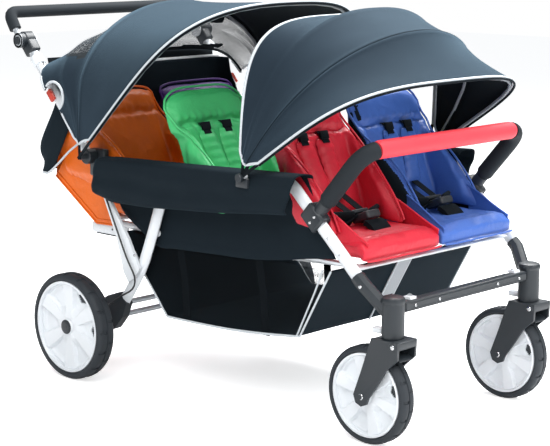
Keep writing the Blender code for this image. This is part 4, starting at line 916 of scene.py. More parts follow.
def handle():
    start = ADJUSTER + UPRIGHT * 0.010
    grip = frame["nodes"]["handle_grip"].data
    xs = [v.co.x - AXIS_X for v in grip.vertices]
    zs = [v.co.z for v in grip.vertices]
    back, top = min(xs) + GRIP_RADIUS, max(zs) - GRIP_RADIUS
    low = min(zs)
    half = max(v.co.y for v in grip.vertices) - GRIP_RADIUS
    lean = Vector((back, 0, top)) - start
    foot = Vector((back, 0, top)) - lean.normalized() * ((top - low - 0.004) / max(lean.normalized().z, 0.3))
    route = rounded_path([(foot.x, -half, foot.z), (back, -half, top), (back, half, top), (foot.x, half, foot.z)],
                         0.048, 12)
    made = piece("handle_foam", swept(spaced(route, 120), GRIP_RADIUS, 20), BLACK_FOAM, "handlebar", 60)
    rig.replaces(made, "handle_grip")
    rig.padded(made, 0.9)
    rings, screws, covers, collars, knuckles = [], [], [], [], []
    for s in (-1, 1):
        at = ADJUSTER + Vector((0, s * UPRIGHT_Y, 0))
        rings.append(turned([(0.0150, 0.0), (0.0205, 0.0), (0.0213, -0.002), (0.0213, -0.0155), (0.0205, -0.0175),
                             (0.0150, -0.0175)], (ADJUSTER.x, s * ADJUSTER_COVER_Y, ADJUSTER.z), (0, s, 0), 36))
        for down in (0.030, 0.046):
            screws.append(bolt(at - UPRIGHT * down + Vector((0, s * 0.0128, 0)), (0, s, 0), 0.0030, 0.0018))
        covers.append(turned([(0, 0.0004), (0.0185, 0.0004), (0.0205, -0.002), (0.0205, -0.0265), (0, -0.0265)],
                             (REAR_PIVOT[0], s * HINGE_COVER_Y, REAR_PIVOT[1]), (0, s, 0), 32))
        collars.append(turned(both_sides([(0.0132, -0.014), (0.0165, -0.014), (0.0175, -0.012)]),
                              at - UPRIGHT * 0.072, UPRIGHT, 28))
        body = placed(block((0, 0, 0), (0.040, 0.031, 0.046), bevel=0.006, segments=3), at - UPRIGHT * 0.024,
                      Vector((0, 0, 1)).rotation_difference(UPRIGHT).to_matrix())
        sleeve = turned([(0.0128, -0.046), (0.0138, -0.046), (0.0138, -0.064), (0.0128, -0.064)], at, UPRIGHT, 28)
        knuckles += [(body, 0), (drum(0.0235, 0.0155, at, (0, 1, 0), 40), 0), (sleeve, 1)]
    beside = ADJUSTER - Vector((0, UPRIGHT_Y, 0))
    cable = smooth_path([beside + Vector((0.012, 0, -0.018)), beside - UPRIGHT * 0.05 + Vector((0.020, 0, 0)),
                         beside - UPRIGHT * 0.085 + Vector((0.016, 0, 0)),
                         beside - UPRIGHT * 0.110 + Vector((0.006, -0.006, 0))], 6)
    piece("adjuster_covers", joined(*rings), BLACK_PLASTIC, "handlebar", 35)
    piece("rear_hinge_covers", joined(*covers), BLACK_PLASTIC, "handle_frame", 35)
    piece("upright_collars", joined(*collars), WHITE_PLASTIC, "handle_frame", 35)
    piece("upright_knuckles", joined(*knuckles), [BLACK_PLASTIC, SILVER_PAINT], "handle_frame", 35)
    piece("handle_fittings", joined(*[(b, 0) for b in screws], (swept(cable, 0.0018, 8), 1)), [STEEL, CABLE_BLACK],
          "handle_frame")


BUMPER_TOP = Vector((-0.062, 0, 0.700))
SLEEVE_HALF = 0.260


def bumper():
    slope = (LEG_TOP - LEG_END).normalized()
    clamp = LEG_TOP - slope * 0.108
    out = (BUMPER_TOP - clamp).normalized()
    start = clamp + out * 0.0503
    route = rounded_path([(start.x, -RAIL_Y, start.z), (BUMPER_TOP.x, -RAIL_Y, BUMPER_TOP.z),
                          (BUMPER_TOP.x, RAIL_Y, BUMPER_TOP.z), (start.x, RAIL_Y, start.z)], 0.060, 14)
    full = spaced(route, 240)
    near = [p for p in full if p.y < -SLEEVE_HALF - 0.0005]
    far = [p for p in full if p.y > SLEEVE_HALF + 0.0005]
    arms = []
    for part in (near, far[::-1]):
        ends = lengths(part)
        tube = swept(part, 0.0200, 20)
        for vert in tube.verts:
            nearest = min(range(len(part)), key=lambda k: (vert.co - part[k]).length_squared)
            swell = 1.075 - 0.22 * (1 - fade(ends[nearest], 0.0, 0.012))
            vert.co = part[nearest] + (vert.co - part[nearest]) * swell
        arms.append(tube)
    made = piece("bumper_arm_foam", joined(*arms), BLACK_FOAM, "bumper", 60)
    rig.replaces(made, "bumper_bar")
    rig.padded(made, 0.9)
    red = spaced([p for p in full if abs(p.y) <= SLEEVE_HALF], 120)
    sleeve = swept(red, 0.0220, 24)
    for vert in sleeve.verts:
        end = SLEEVE_HALF - abs(vert.co.y)
        spot = min(red, key=lambda p: (vert.co - p).length_squared)
        vert.co = spot + (vert.co - spot) * (0.93 + 0.07 * fade(end, 0.0, 0.008))
    made = piece("bumper_sleeve", sleeve, RED_FOAM, "bumper", 60)
    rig.replaces(made, "bumper_foam")
    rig.padded(made, 0.95)
    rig.slot(made, "red_foam")


# ---------------------------------------------------------------- hoods

FRONT_HOOD = ((86.5, 0.004, 0.3738, 4.4, 4.6), (74.8, 0.022, 0.3868, 2.5, 2.3), (53.8, 0.008, 0.4198, 2.0, 2.7),
              (33.3, 0.033, 0.3928, 3.4, 4.7))
REAR_HOOD = ((127.0, 0.040, 0.2715, 6.0, 8.0), (106.0, 0.043, 0.2945, 3.2, 4.5), (90.0, 0.047, 0.3545, 2.0, 2.8),
             (43.6, 0.038, 0.5615, 2.6, 5.8))
HOOD_HALF = {"front": 0.3715, "rear": 0.3730}
REAR_LEAN = 0.034  # how far the rear hood's back edge stands ahead of the handle's tube near its foot


def foot_reach(share):
    """How far from the pivot the cloth's rounded foot ends, from its rear edge (share 0) to its front one (1)."""
    return 0.066 + 0.0115 * share ** 2 - 0.0295 * sin(pi * min(share, 1)) ** 0.8


def foot_lean(pivot, share):
    """How far the cloth near a foot stands ahead of the pivot's own line."""
    return REAR_LEAN * (1 - share) ** 1.5 if pivot == REAR_PIVOT else 0.0


def bow_line(pivot, station, half, foot):
    """The line of cloth over one bow, from its foot beside the pivot on the right to the one on the left."""
    tilt, leg, height, n, m = station
    up = Vector((cos(radians(tilt)), 0, sin(radians(tilt))))
    base = Vector((pivot[0], 0, pivot[1]))
    made = [base + up * foot + Vector((0, -half, 0))]
    for k in range(161):
        t = 0.02 + (pi - 0.04) * k / 160
        rise = leg + height * sin(t) ** (2 / m)
        across = -half * copysign(abs(cos(t)) ** (2 / n), cos(t))
        if rise > foot + 0.01:
            made.append(base + up * rise + Vector((0, across, 0)))
    made.append(base + up * foot + Vector((0, half, 0)))
    return made


def gore(first, last, centre, across=96, length=14, sag=0.004, rib_first=0.0, rib_last=0.0, seed=0.0):
    """Cloth stretched between two lines, sunk a little between them, with raised casings over the bows."""
    a, b = spaced(first, 4 * across), spaced(last, 4 * across)
    middle = Vector((centre[0], 0, centre[1]))
    wide = lengths(a)[-1]
    deep = (along(a, 0.5) - along(b, 0.5)).length

    def place(u, v):
        k = min(int(u * 4 * across), 4 * across - 1)
        rest = u * 4 * across - k
        p = a[k].lerp(a[k + 1], rest).lerp(b[k].lerp(b[k + 1], rest), v)
        out = (p - middle).normalized()
        foot = min(u, 1 - u) * wide
        pull = 0.0018 * wander(u * 9 + seed, v * 2.2, seed) + 0.0016 * wander(u * 24, v * 1.6, seed + 4) \
            * (1 - fade(foot, 0.05, 0.28))
        height = -sag * sin(pi * v) * fade(foot, 0.04, 0.25) + pull * sin(pi * v)
        height += rib_first * ridge(v * deep, 0, 0.007) + rib_last * ridge((1 - v) * deep, 0, 0.007)
        return p + out * height

    return cloth_grid(across, length, place, (wide, deep))


def piping(points, radius=0.0036, sides=10, count=220):
    return swept(spaced(points, count), radius, sides)


def foot_turn(tilts, pivot, half, s):
    """The rounded foot of a hood beside the pivot, from its rear edge to its front one."""
    made = []
    for k in range(17):
        share = k / 16
        a, reach = radians(tilts[0] + (tilts[3] - tilts[0]) * share), foot_reach(share)
        made.append(Vector((pivot[0] + reach * cos(a) + foot_lean(pivot, share), s * half, pivot[1] + reach * sin(a))))
    return made


def hood(name, pivot, stations, half, casings, rests):
    """The two stretches of cloth of one hood, the lines over its bows and the spots on them that its folds use."""
    shares = [(station[0] - stations[0][0]) / (stations[-1][0] - stations[0][0]) for station in stations]
    lines = [bow_line(pivot, station, half, foot_reach(share)) for station, share in zip(stations, shares)]
    for line, share in zip(lines, shares):
        for point in line:
            reach = (point - Vector((pivot[0], point.y, pivot[1]))).length
            point.x += foot_lean(pivot, share) * (1 - fade(reach, 0.12, 0.23))
    base = Vector((pivot[0], 0, pivot[1]))
    centre = (pivot[0] + 0.05, pivot[1] + 0.10)
    first = gore(lines[0], lines[1], centre, rib_last=casings[0], seed=3.0)
    second = gore(lines[1], lines[2], centre, rib_first=casings[0], rib_last=casings[1], seed=7.0)
    cloth = joined(first, second)
    bmesh.ops.remove_doubles(cloth, verts=cloth.verts, dist=1e-4)
    rear = piece(f"{name}_rear_cloth", cloth, [HOOD_LINING, HOOD_GREY], None, 60)
    front = piece(f"{name}_front_cloth", gore(lines[2], lines[3], centre, length=20, rib_first=casings[1], seed=11.0,
                                              sag=0.006), [HOOD_LINING, HOOD_GREY], None, 60)
    for made, bows in zip((rear, front), rests):
        thickened(made, 0.0016, -1.0, 1)
        declared_sheet(made, "stretched", [f"{bow}_finished" for bow in bows])
        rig.replaces(made, f"{name}_cloth")
        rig.slot(made, "grey_cloth")
    tilts = [station[0] for station in stations]

    def spot(tilt):
        return Vector((AXIS_X, 0, 0)) + base + Vector((cos(radians(tilt)), 0, sin(radians(tilt)))) * 0.33

    return rear, front, lines, tilts, spot


def baked(obj):
    """Applies an object's modifiers to its mesh."""
    mesh = bpy.data.meshes.new_from_object(obj.evaluated_get(bpy.context.evaluated_depsgraph_get()))
    obj.modifiers.clear()
    obj.data = mesh
    return obj


def declared_sheet(obj, held, rests_on):
    """Declares a sheet by its own area and longest side, as flat width by length."""
    area = sum(p.area for p in obj.data.polygons)
    box = [max(v.co[i] for v in obj.data.vertices) - min(v.co[i] for v in obj.data.vertices) for i in range(3)]
    length = max(box)
    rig.sheet(obj, flat=(round(area / length, 3), round(length, 3)), held=held, rests_on=rests_on)


def front_piping(name, line, hem_radius):
    """The white piping along a hood's front edge, and the black hem behind it."""
    hem = piping([p + Vector((0.0040, 0, -0.0045)) for p in line], hem_radius)
    piece(f"{name}_front_piping", joined((piping(line), 0), (hem, 1)), [WHITE_PIPING, BLACK_WEBBING], f"{name}_front",
          60)


def hoods():
    rear, front, lines, tilts, spot = hood("front_hood", FRONT_PIVOT, FRONT_HOOD, HOOD_HALF["front"], (0.0016, 0.0030),
                                           (("front_hood_rear_bow", "front_hood_middle_bow"),
                                            ("front_hood_middle_bow", "front_hood_front_bow")))
    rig.blend(rear, "frame", "front_hood_middle", start=spot(tilts[0]), end=spot(tilts[2]))
    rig.blend(front, "front_hood_middle", "front_hood_front", start=spot(tilts[2]), end=spot(tilts[3]))
    half = HOOD_HALF["front"]
    feet = [foot_turn(tilts, FRONT_PIVOT, half, s) for s in (-1, 1)]
    edge = [*feet[0][::-1], *lines[0][1:-1], *feet[1]]
    piece("front_hood_rear_piping", piping(edge), WHITE_PIPING, "frame", 60)
    front_piping("front_hood", lines[3], 0.0030)
    plates = []
    for s in (-1, 1):
        plates.append(turned([(0, 0.0030), (0.009, 0.0030), (0.0105, 0.0012), (0.0105, -0.006), (0, -0.006)],
                             (FRONT_PIVOT[0], s * 0.3745, FRONT_PIVOT[1]), (0, s, 0), 24))
        plates.append(block((FRONT_PIVOT[0] - 0.004, s * 0.3555, FRONT_PIVOT[1] - 0.014), (0.040, 0.012, 0.024),
                            bevel=0.003))
    piece("front_hood_hinges", joined(*plates), BLACK_PLASTIC, "frame", 35)

    rear, front, lines, tilts, spot = hood("rear_hood", REAR_PIVOT, REAR_HOOD, HOOD_HALF["rear"], (0.0, 0.0026),
                                           (("rear_hood_rear_bow", "handle_frame"),
                                            ("rear_hood_rear_bow", "rear_hood_front_bow")))
    # The rear panel is mostly a see-through window, and each side leaves a round opening for the fold release.
    for polygon in rear.data.polygons:
        c = polygon.center
        x, z = c.x - AXIS_X - REAR_PIVOT[0], c.z - REAR_PIVOT[1]
        tilt, reach = degrees(atan2(z, x)), (x * x + z * z) ** 0.5
        if 93 < tilt < 124.5 and (c.z > 0.86 or c.y > 0.30 and reach > 0.12):
            polygon.material_index = 2
    rear.data.materials.append(WINDOW_MESH)
    rear.data.materials.append(WINDOW_MESH)
    rear.modifiers[0].material_offset = 1
    rear.modifiers[0].material_offset_rim = 0
    hole, hole_radius = Vector((-1.104, 0, 0.757)), 0.039
    cutter = piece("release_opening", turned([(0, -0.5), (hole_radius, -0.5), (hole_radius, 0.5), (0, 0.5)], hole,
                                            (0, 1, 0), 48), [], None)
    cutter.hide_render = True
    cut = rear.modifiers.new("opening", "BOOLEAN")
    cut.object = cutter
    cut.solver = "EXACT"
    baked(rear)
    bpy.data.objects.remove(cutter)
    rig.blend(rear, "handle_frame", "rear_hood_rear", start=spot(tilts[0]), end=spot(tilts[2]))
    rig.blend(front, "rear_hood_rear", "rear_hood_front", start=spot(tilts[2]), end=spot(tilts[3]))
    half = HOOD_HALF["rear"]
    trims = []
    for s in (-1, 1):
        leg = [p for p in lines[0]
               if (p - hole - Vector((0, p.y, 0))).length > hole_radius + 0.001 and p.y * s > half - 0.012]
        lower = [p for p in leg if p.z < hole.z]
        upper = [p for p in leg if p.z > hole.z]
        lower.sort(key=lambda p: p.z)
        upper.sort(key=lambda p: p.z)
        trims.append(piping([*foot_turn(tilts, REAR_PIVOT, half, s)[:0:-1], *lower], count=90))
        trims.append(piping(upper, count=30))
        ring, reach = [], hole_radius + 0.0005
        for k in range(25):
            a = radians(-52 + 190 * k / 24)
            ring.append(Vector((hole.x + reach * cos(a), s * (half + 0.0004), hole.z + reach * sin(a))))
        trims.append(piping(ring, count=50))
    piece("rear_hood_rear_piping", joined(*trims), WHITE_PIPING, "handle_frame", 60)
    front_piping("rear_hood", lines[3], 0.0034)
    band = webbing([Vector((-1.2035, y, 0.8345 - 0.0015 * cos(pi * y / 0.62))) for y in
                    [-0.31 + 0.62 * k / 20 for k in range(21)]], 0.034, 0.0022, (-0.28, 0, 1))
    piece("rear_edge_band", band, BLACK_WEBBING, "handle_frame", 60)
    # The window's cover is rolled up under the roof; the two loops that hold it are not modelled.
    roll = []
    for k in range(25):
        y = -0.17 + 0.34 * k / 24
        roll.append(Vector((-1.020, y, 0.955 + 0.010 * cos(pi * y / 0.34) - 0.006 * abs(sin(9 * y)))))
    bundle = swept(roll, 0.016, 16)
    for vert in bundle.verts:
        vert.co += Vector((1, 0, 1)) * 0.004 * wander(vert.co.y * 30, vert.co.x * 60, vert.co.z * 60)
    made = piece("window_cover_roll", bundle, BLACK_WEBBING, "rear_hood_rear", 60)
    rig.padded(made, 0.3)


# ---------------------------------------------------------------- seats

ROW_PITCH = 0.345  # from one row's hinge to the next
SEAT_HINGE = Vector((-0.292, 0, 0.484))
SEAT_OUTER, HEAD_OUTER, HALF_GAP = 0.281, 0.300, 0.004
BACK_LENGTH, WING_DEPTH, WING = 0.325, 0.125, 0.014
PAN_FRONT, PAN_TOP = -0.066, 0.474
PAN_SEAM = 0.86  # how far forward on the pan the seam over its front roll lies
PITCH = {"front": 69.5, "middle": 69.5, "rear": 65.0}  # degrees of each row's backs over the level


def row_shift(row):
    return -ROW_PITCH * ROWS.index(row)


def pillow(u, v):
    return (1 - abs(2 * u - 1) ** 4) * (1 - abs(2 * v - 1) ** 4)


def closed_pad(columns, rows, top, bottom, place):
    """A closed pad: an upper and a lower grid, bridged round their edges."""
    upper = cloth_grid(columns, rows, lambda u, v: place(u, v, top(u, v)), (1, 1))
    lower = cloth_grid(columns, rows, lambda u, v: place(u, v, bottom(u, v)), (1, 1))
    bmesh.ops.reverse_faces(lower, faces=lower.faces)
    pad = joined(upper, lower)
    bmesh.ops.bridge_loops(pad, edges=[e for e in pad.edges if e.is_boundary])
    bmesh.ops.recalc_face_normals(pad, faces=pad.faces)
    return pad


def back_frame(row):
    pitch = radians(PITCH[row])
    up, out = Vector((-cos(pitch), 0, sin(pitch))), Vector((sin(pitch), 0, cos(pitch)))
    return SEAT_HINGE + Vector((row_shift(row), 0, 0)), up, out, pi / 2 - pitch


def back_width(v):
    spread = fade(v, 0.56, 0.70) * (HEAD_OUTER - SEAT_OUTER)
    taper = 0.012 * fade(v, 0.6, 1.0)
    return HALF_GAP + taper, SEAT_OUTER + spread


def back_place(row):
    hinge, up, out, lean = back_frame(row)

    def place(u, v, w):
        inner, outer = back_width(v)
        drop = (0.014 if row == "rear" else 0.040) * abs(2 * u - 1) ** 5 * fade(v, 0.7, 1.0)
        shear = -max(w, 0) * tan(lean) * (1 - fade(v, 0.0, 0.5))
        point = hinge + up * (0.006 + v * BACK_LENGTH * (0.935 if row == "rear" else 1.0) - drop + shear) + out * w
        inward = WING_LEAN * fade(w, 0.012, 0.105) * (1 - fade(u, 0.10, 0.40))
        return Vector((point.x, -(inner + inward + u * (outer - inner)), point.z))

    return place


WING_SHARE = WING / (SEAT_OUTER - HALF_GAP)
WING_LEAN = 0.026  # how far the inner wing's free edge leans over its own seat


def wing_rise(u, v):
    edge = min(u, 1 - u)
    return (1 - fade(edge, WING_SHARE, 2.2 * WING_SHARE)) * WING_DEPTH * (1 - fade(v, 0.0, 0.78)) ** 0.8


def back_top(u, v):
    return 0.010 * pillow(u, v) - 0.002 + wing_rise(u, v)


def seat_back_pad(row):
    def bottom(u, v):
        boot = 0.135 * (0.08 + 0.92 * fade(v, 0.0, 0.44)) * (1 - fade(v, 0.62, 0.95)) if row == "rear" else 0.0
        return -0.027 + 0.010 * (1 - pillow(u, v)) - boot

    return closed_pad(72, 56, back_top, bottom, back_place(row))


def pan_place(u, v, z):
    rear = SEAT_HINGE.x + 0.006
    waist = 0.004 * (1 - abs(2 * v - 1) ** 2)
    half = (SEAT_OUTER - HALF_GAP) / 2 - waist
    corner = 0.010 * abs(2 * u - 1) ** 8 * fade(v, 0.8, 1.0)
    belly = 0.007 * fade(v, 0.86, 1.0) * max(0, 1 - ((z - 0.458) / 0.030) ** 2)
    y = (SEAT_OUTER + HALF_GAP) / 2 + (2 * u - 1) * half
    return Vector((rear + v * (PAN_FRONT - rear) - corner + belly, -y, z))


def seat_pan_pad():
    def top(u, v):
        return PAN_TOP + 0.003 + 0.008 * pillow(u, min(v, 0.5)) - 0.014 * fade(v, 0.88, 1.0) ** 2

    def bottom(u, v):
        sunk = 0.010 * (1 - pillow(u, min(v, 0.5))) * (1 - fade(v, 0.8, 1.0))
        return PAN_TOP - 0.038 + sunk + 0.002 * fade(v, 0.9, 1.0)

    return closed_pad(56, 48, top, bottom, pan_place)


def remeshed(obj, voxel):
    net = obj.modifiers.new("remesh", "REMESH")
    net.mode = "VOXEL"
    net.voxel_size = voxel
    return baked(obj)


def inflated(bm, name, voxel=0.0055, cap=0.006, pressure=4.0):
    """A pad of sewn cloth blown up by its filling, and returned as a bmesh."""
    obj = piece(name, bm, [], None, 0, shift=False)
    remeshed(obj, voxel)
    rest = [v.co.copy() for v in obj.data.vertices]
    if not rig.quick():
        cloth = obj.modifiers.new("fill", "CLOTH")
        cloth.settings.quality = 4
        cloth.settings.mass = 0.3
        cloth.settings.tension_stiffness = cloth.settings.compression_stiffness = 18
        cloth.settings.bending_stiffness = 0.6
        cloth.settings.use_pressure = True
        cloth.settings.uniform_pressure_force = pressure
        cloth.settings.effector_weights.gravity = 0
        cloth.collision_settings.use_collision = False
        cloth.point_cache.frame_start, cloth.point_cache.frame_end = 1, 20
        for step in range(1, 21):
            scene.frame_set(step)
        graph = bpy.context.evaluated_depsgraph_get()
        moved = [v.co.copy() for v in obj.evaluated_get(graph).data.vertices]
        obj.modifiers.clear()
        scene.frame_set(1)
        for vert, before, after in zip(obj.data.vertices, rest, moved):
            step = after - before
            vert.co = before + step * min(1, cap / max(step.length, 1e-9))
    made = bmesh.new()
    made.from_mesh(obj.data)
    bpy.data.objects.remove(obj)
    bmesh.ops.smooth_vert(made, verts=made.verts, factor=0.5, use_axis_x=True, use_axis_y=True, use_axis_z=True)
    return made


def sew_back(bm, row):
    """The headrest channel, the wing seams and the pulls beside the seams, after the filling."""
    hinge, up, out, _ = back_frame(row)
    for vert in bm.verts:
        rel = vert.co - hinge
        v, w = (rel.dot(up) - 0.006) / BACK_LENGTH, rel.dot(out)
        if w < -0.012:
            continue
        inner, outer = back_width(v)
        u = (-vert.co.y - inner) / (outer - inner)
        inside = fade(min(u, 1 - u), 0.03, 0.10)
        depth = 0.0075 * ridge(v, 0.70, 0.030) * inside
        if row == "rear":
            depth += 0.0050 * abs(wander(u * 5 + v * 3, v * 6 - u * 2, 3.0)) * inside
        depth += 0.0030 * ridge(v, 0.705 + 0.02 * sin(26 * u), 0.012) * inside
        pulls = 0.0016 * sin(70 * u + 3 * wander(u * 4, v * 4)) \
            * (ridge(v, 0.66, 0.035) + ridge(v, 0.75, 0.030)) * inside
        sag = 0.0020 * wander(u * 3.1, v * 4.3, 5.0) + 0.0012 * wander(u * 9, v * 11, 9.0)
        vert.co += out * (pulls + sag - depth)


def blacked(bm):
    """The outer face of the inner wing is black cloth, so it gets the second material."""
    for face in bm.faces:
        c = face.calc_center_median()
        if face.normal.y > 0.55 and c.y > -0.055 and c.x > SEAT_HINGE.x - 0.10:
            face.material_index = 1


def gusset(row):
    """The low side wall between the foot of each wing and the front corner of the seat, with its piped edge."""
    sheets, edges = [], []
    for side_share, inner in ((0.0, True), (1.0, False)):
        def at(x, z, rise):
            v = (x - SEAT_HINGE.x - 0.006) / (PAN_FRONT - SEAT_HINGE.x - 0.006)
            y = pan_place(side_share, min(max(v, 0), 1), z).y
            y += (-0.0065 - 0.010 * rise) if inner else 0.0065
            return Vector((x, y, z))

        rim_line = smooth_path([at(-0.204, 0.545, 1.0), at(-0.165, 0.526, 0.7), at(-0.122, 0.502, 0.35),
                                at(-0.074, 0.478, 0.0)], 8)
        foot = spaced([at(-0.196, 0.474, 0.0), at(-0.074, 0.472, 0.0)], len(rim_line) - 1)
        sheet = cloth_grid(len(rim_line) - 1, 8, lambda u, v: along(foot, u).lerp(along(rim_line, u), v), (0.12, 0.07))
        sheets.append(walled(sheet, 0.005))
        edges.append(piping(rim_line, 0.0028, 8, 40))
    whole = joined(*sheets, *edges)
    bmesh.ops.recalc_face_normals(whole, faces=whole.faces)
    return placed(whole, (row_shift(row), 0, 0))


def rear_sling():
    """The deep sling under a rear seat's back: its outer side down to the rail's end, its floor and its piped edge."""
    outer, inner = -0.2745, -HALF_GAP - 0.004
    low = polyline([(-1.226, 0.520), (-1.053, 0.406), (-0.960, 0.410)])
    high = smooth_path(polyline([(-1.190, 0.570), (-1.105, 0.603), (-0.965, 0.570)]), 8)
    fold = polyline([(-1.214, 0.598), (-1.226, 0.520), (-1.053, 0.412)])

    def side(u, v):
        p = along(low, u).lerp(along(high, u), v)
        return Vector((p.x, outer - 0.0015 * wander(u * 4, v * 3) * sin(pi * v) * sin(pi * u), p.z))

    def floor(u, v):
        p = along(fold, u)
        return Vector((p.x, outer + (inner - outer) * v, p.z - 0.006 * sin(pi * v) * sin(pi * u)))

    sheets = [walled(cloth_grid(30, rows, place, (0.26, deep)), 0.002)
              for rows, place, deep in ((12, side, 0.12), (14, floor, 0.27))]
    edge = piping([Vector((p.x, outer - 0.0005, p.z)) for p in low], 0.0028, 8, 60)
    seam = piping([Vector((p.x + 0.004, outer - 0.0012, p.z + 0.012)) for p in low], 0.0012, 8, 60)
    whole = joined(*sheets, edge, seam)
    bmesh.ops.recalc_face_normals(whole, faces=whole.faces)
    return whole


def sew_pan(bm):
    for vert in bm.verts:
        v = (vert.co.x - (SEAT_HINGE.x + 0.006)) / (PAN_FRONT - SEAT_HINGE.x - 0.006)
        u = (-vert.co.y - HALF_GAP) / (SEAT_OUTER - HALF_GAP)
        if vert.co.z < PAN_TOP - 0.02:
            continue
        inside = fade(min(u, 1 - u), 0.02, 0.08)
        vert.co.z -= (0.0030 * ridge(v, PAN_SEAM, 0.010) + 0.0012 * sin(60 * u) * ridge(v, 0.81, 0.03)) * inside
        vert.co.z += 0.0018 * wander(u * 3, v * 3.4, 2.0) * inside


def pan_edges():
    """The piped seams of a seat cushion: round its sides and across the top of its front roll, and under the roll."""
    inner = [pan_place(0.0, PAN_SEAM * k / 30, PAN_TOP - 0.004) - Vector((0, 0.0015, 0)) for k in range(31)]
    outer = [pan_place(1.0, PAN_SEAM * k / 30, PAN_TOP - 0.004) + Vector((0, 0.0040, 0)) for k in range(31)]
    across = [pan_place(k / 30, PAN_SEAM, PAN_TOP + 0.0015 + 0.008 * pillow(k / 30, 0.5)) for k in range(1, 30)]
    under = [pan_place(0.02 + 0.96 * k / 40, 1.0, PAN_TOP - 0.0345) + Vector((0.0020, 0, 0)) for k in range(41)]
    return [*inner, *across, *outer[::-1]], under


def back_edge(row):
    """The piped edge up one wing, round the headrest and down the other wing."""
    place = back_place(row)

    def wing(v, other=False):
        share = 0.5 * WING_SHARE * (1 - fade(v, 0.7, 1.0))
        height = back_top(0.3 * WING_SHARE, v) + 0.0035 - 0.010 * fade(v, 0.70, 0.95)
        return place(1 - share if other else share, v, height)

    ups = [0.02 + 0.96 * k / 49 for k in range(50)]
    head = [place(k / 30, 1.0, -0.010 + 0.003 * sin(pi * k / 30)) + back_frame(row)[1] * 0.003 for k in range(1, 30)]
    return [*[wing(v) for v in ups], *head, *[wing(v, True) for v in reversed(ups)]]


def on_back(row, y, v, w):
    """A point on a seat's back: y from its middle, v up it and w out of it, on the right side."""
    hinge, up, out, _ = back_frame(row)
    point = hinge + up * (0.006 + (v + 0.035) * BACK_LENGTH) + out * w
    return Vector((point.x, -((SEAT_OUTER + HALF_GAP) / 2 + 0.020 * fade(v, 0.1, 0.6) + y * 0.90), point.z))


def shoulder_pad(row, y):
    def place(u, v, w):
        wide = 0.0330 - 0.004 * fade(v, 0.86, 1.0)
        round_end = 0.10 * abs(2 * u - 1) ** 4 * fade(v, 0.86, 1.0)
        lean = -0.010 * (1 - v) * copysign(1, y)
        return on_back(row, y + lean + (2 * u - 1) * wide, 0.16 + 0.44 * v - 0.012 * round_end * 10, 0.0165 + w)

    puff = lambda u, v: (1 - abs(2 * u - 1) ** 3) * (1 - abs(2 * v - 1) ** 8)
    return closed_pad(14, 30, lambda u, v: 0.0085 * puff(u, v) + 0.0008 * sin(40 * v), lambda u, v: -0.003 * puff(u, v),
                      place)


def harness(row):
    """Webbing, sliders, lap straps and the buckle of one seat's harness."""
    hinge, _, _, lean = back_frame(row)
    parts = []
    for y in (-0.040, 0.040) if row != "rear" else ():
        parts.append(webbing([on_back(row, y * 1.05, v, w) for v, w in ((0.672, -0.002), (0.665, 0.009), (0.640, 0.016),
                                                                        (0.600, 0.0215), (0.560, 0.024))],
                             0.024, 0.0016, (0, 1, 0)))
        parts.append(placed(block((0, 0, 0), (0.0065, 0.030, 0.021), bevel=0.002),
                            on_back(row, y * 1.05, 0.625, 0.021), Matrix.Rotation(-lean, 3, "Y")))
        low = on_back(row, y * 0.72, 0.16, 0.020)
        mid = Vector((hinge.x + 0.085, low.y * 0.5 - (SEAT_OUTER + HALF_GAP) / 4 - y * 0.2, PAN_TOP + 0.040))
        parts.append(webbing(smooth_path([low, low.lerp(mid, 0.5) + Vector((0.012, 0, -0.006)), mid], 5), 0.024, 0.0016,
                             (0, 1, 0)))
        end = Vector((hinge.x + 0.030, -((SEAT_OUTER + HALF_GAP) / 2 + y * 2.9), PAN_TOP + 0.016))
        parts.append(webbing(smooth_path([mid, mid.lerp(end, 0.5) + Vector((0.010, 0, -0.008)), end], 6), 0.024, 0.0016,
                             (0.75, 0, 0.65)))
    centre = Vector((hinge.x + 0.098, -(SEAT_OUTER + HALF_GAP) / 2, PAN_TOP + 0.040))
    shell = block(centre, (0.056, 0.050, 0.020), pitch=24, bevel=0.006, segments=3)
    button = block(centre + Vector((-0.002, 0, 0.0085)), (0.024, 0.020, 0.004), pitch=24, bevel=0.0016)
    tongue = block(centre + Vector((-0.028, 0, 0.006)), (0.026, 0.060, 0.010), pitch=34, bevel=0.004, segments=3)
    crotch = []
    for k in range(9):
        t = k / 8
        crotch.append(Vector((centre.x + 0.020 + 0.050 * t - 0.010 * t * t, centre.y,
                              centre.z - 0.004 - 0.026 * t ** 1.5)))
    for t in (-1, 1):
        belt_pad = block((0, 0, 0), (0.046, 0.072, 0.013), bevel=0.006, segments=3)
        parts.append(placed(belt_pad, centre + Vector((-0.036, 0.056 * t, -0.004)),
                            Matrix.Rotation(radians(26 * t), 3, "Z") @ Matrix.Rotation(radians(-52), 3, "Y")))
    parts += [shell, tongue, webbing(crotch, 0.062, 0.012, (0, 1, 0))]
    mark = block(centre + Vector((-0.0035, 0, 0.0112)), (0.0022, 0.014, 0.0010), pitch=24, bevel=0.0004)
    return joined(*[(p, 0) for p in parts[:-3]], (parts[-3], 1), (parts[-2], 1), (parts[-1], 0), (button, 1), (mark, 2))


def widened(bm):
    """The front row's cushions are a little wider at their outer front corners."""
    for vert in bm.verts:
        share = (-vert.co.y - HALF_GAP) / (SEAT_OUTER - HALF_GAP)
        vert.co.y -= 0.007 * max(share, 0) * fade(vert.co.x, -0.130, -0.078)
    return bm


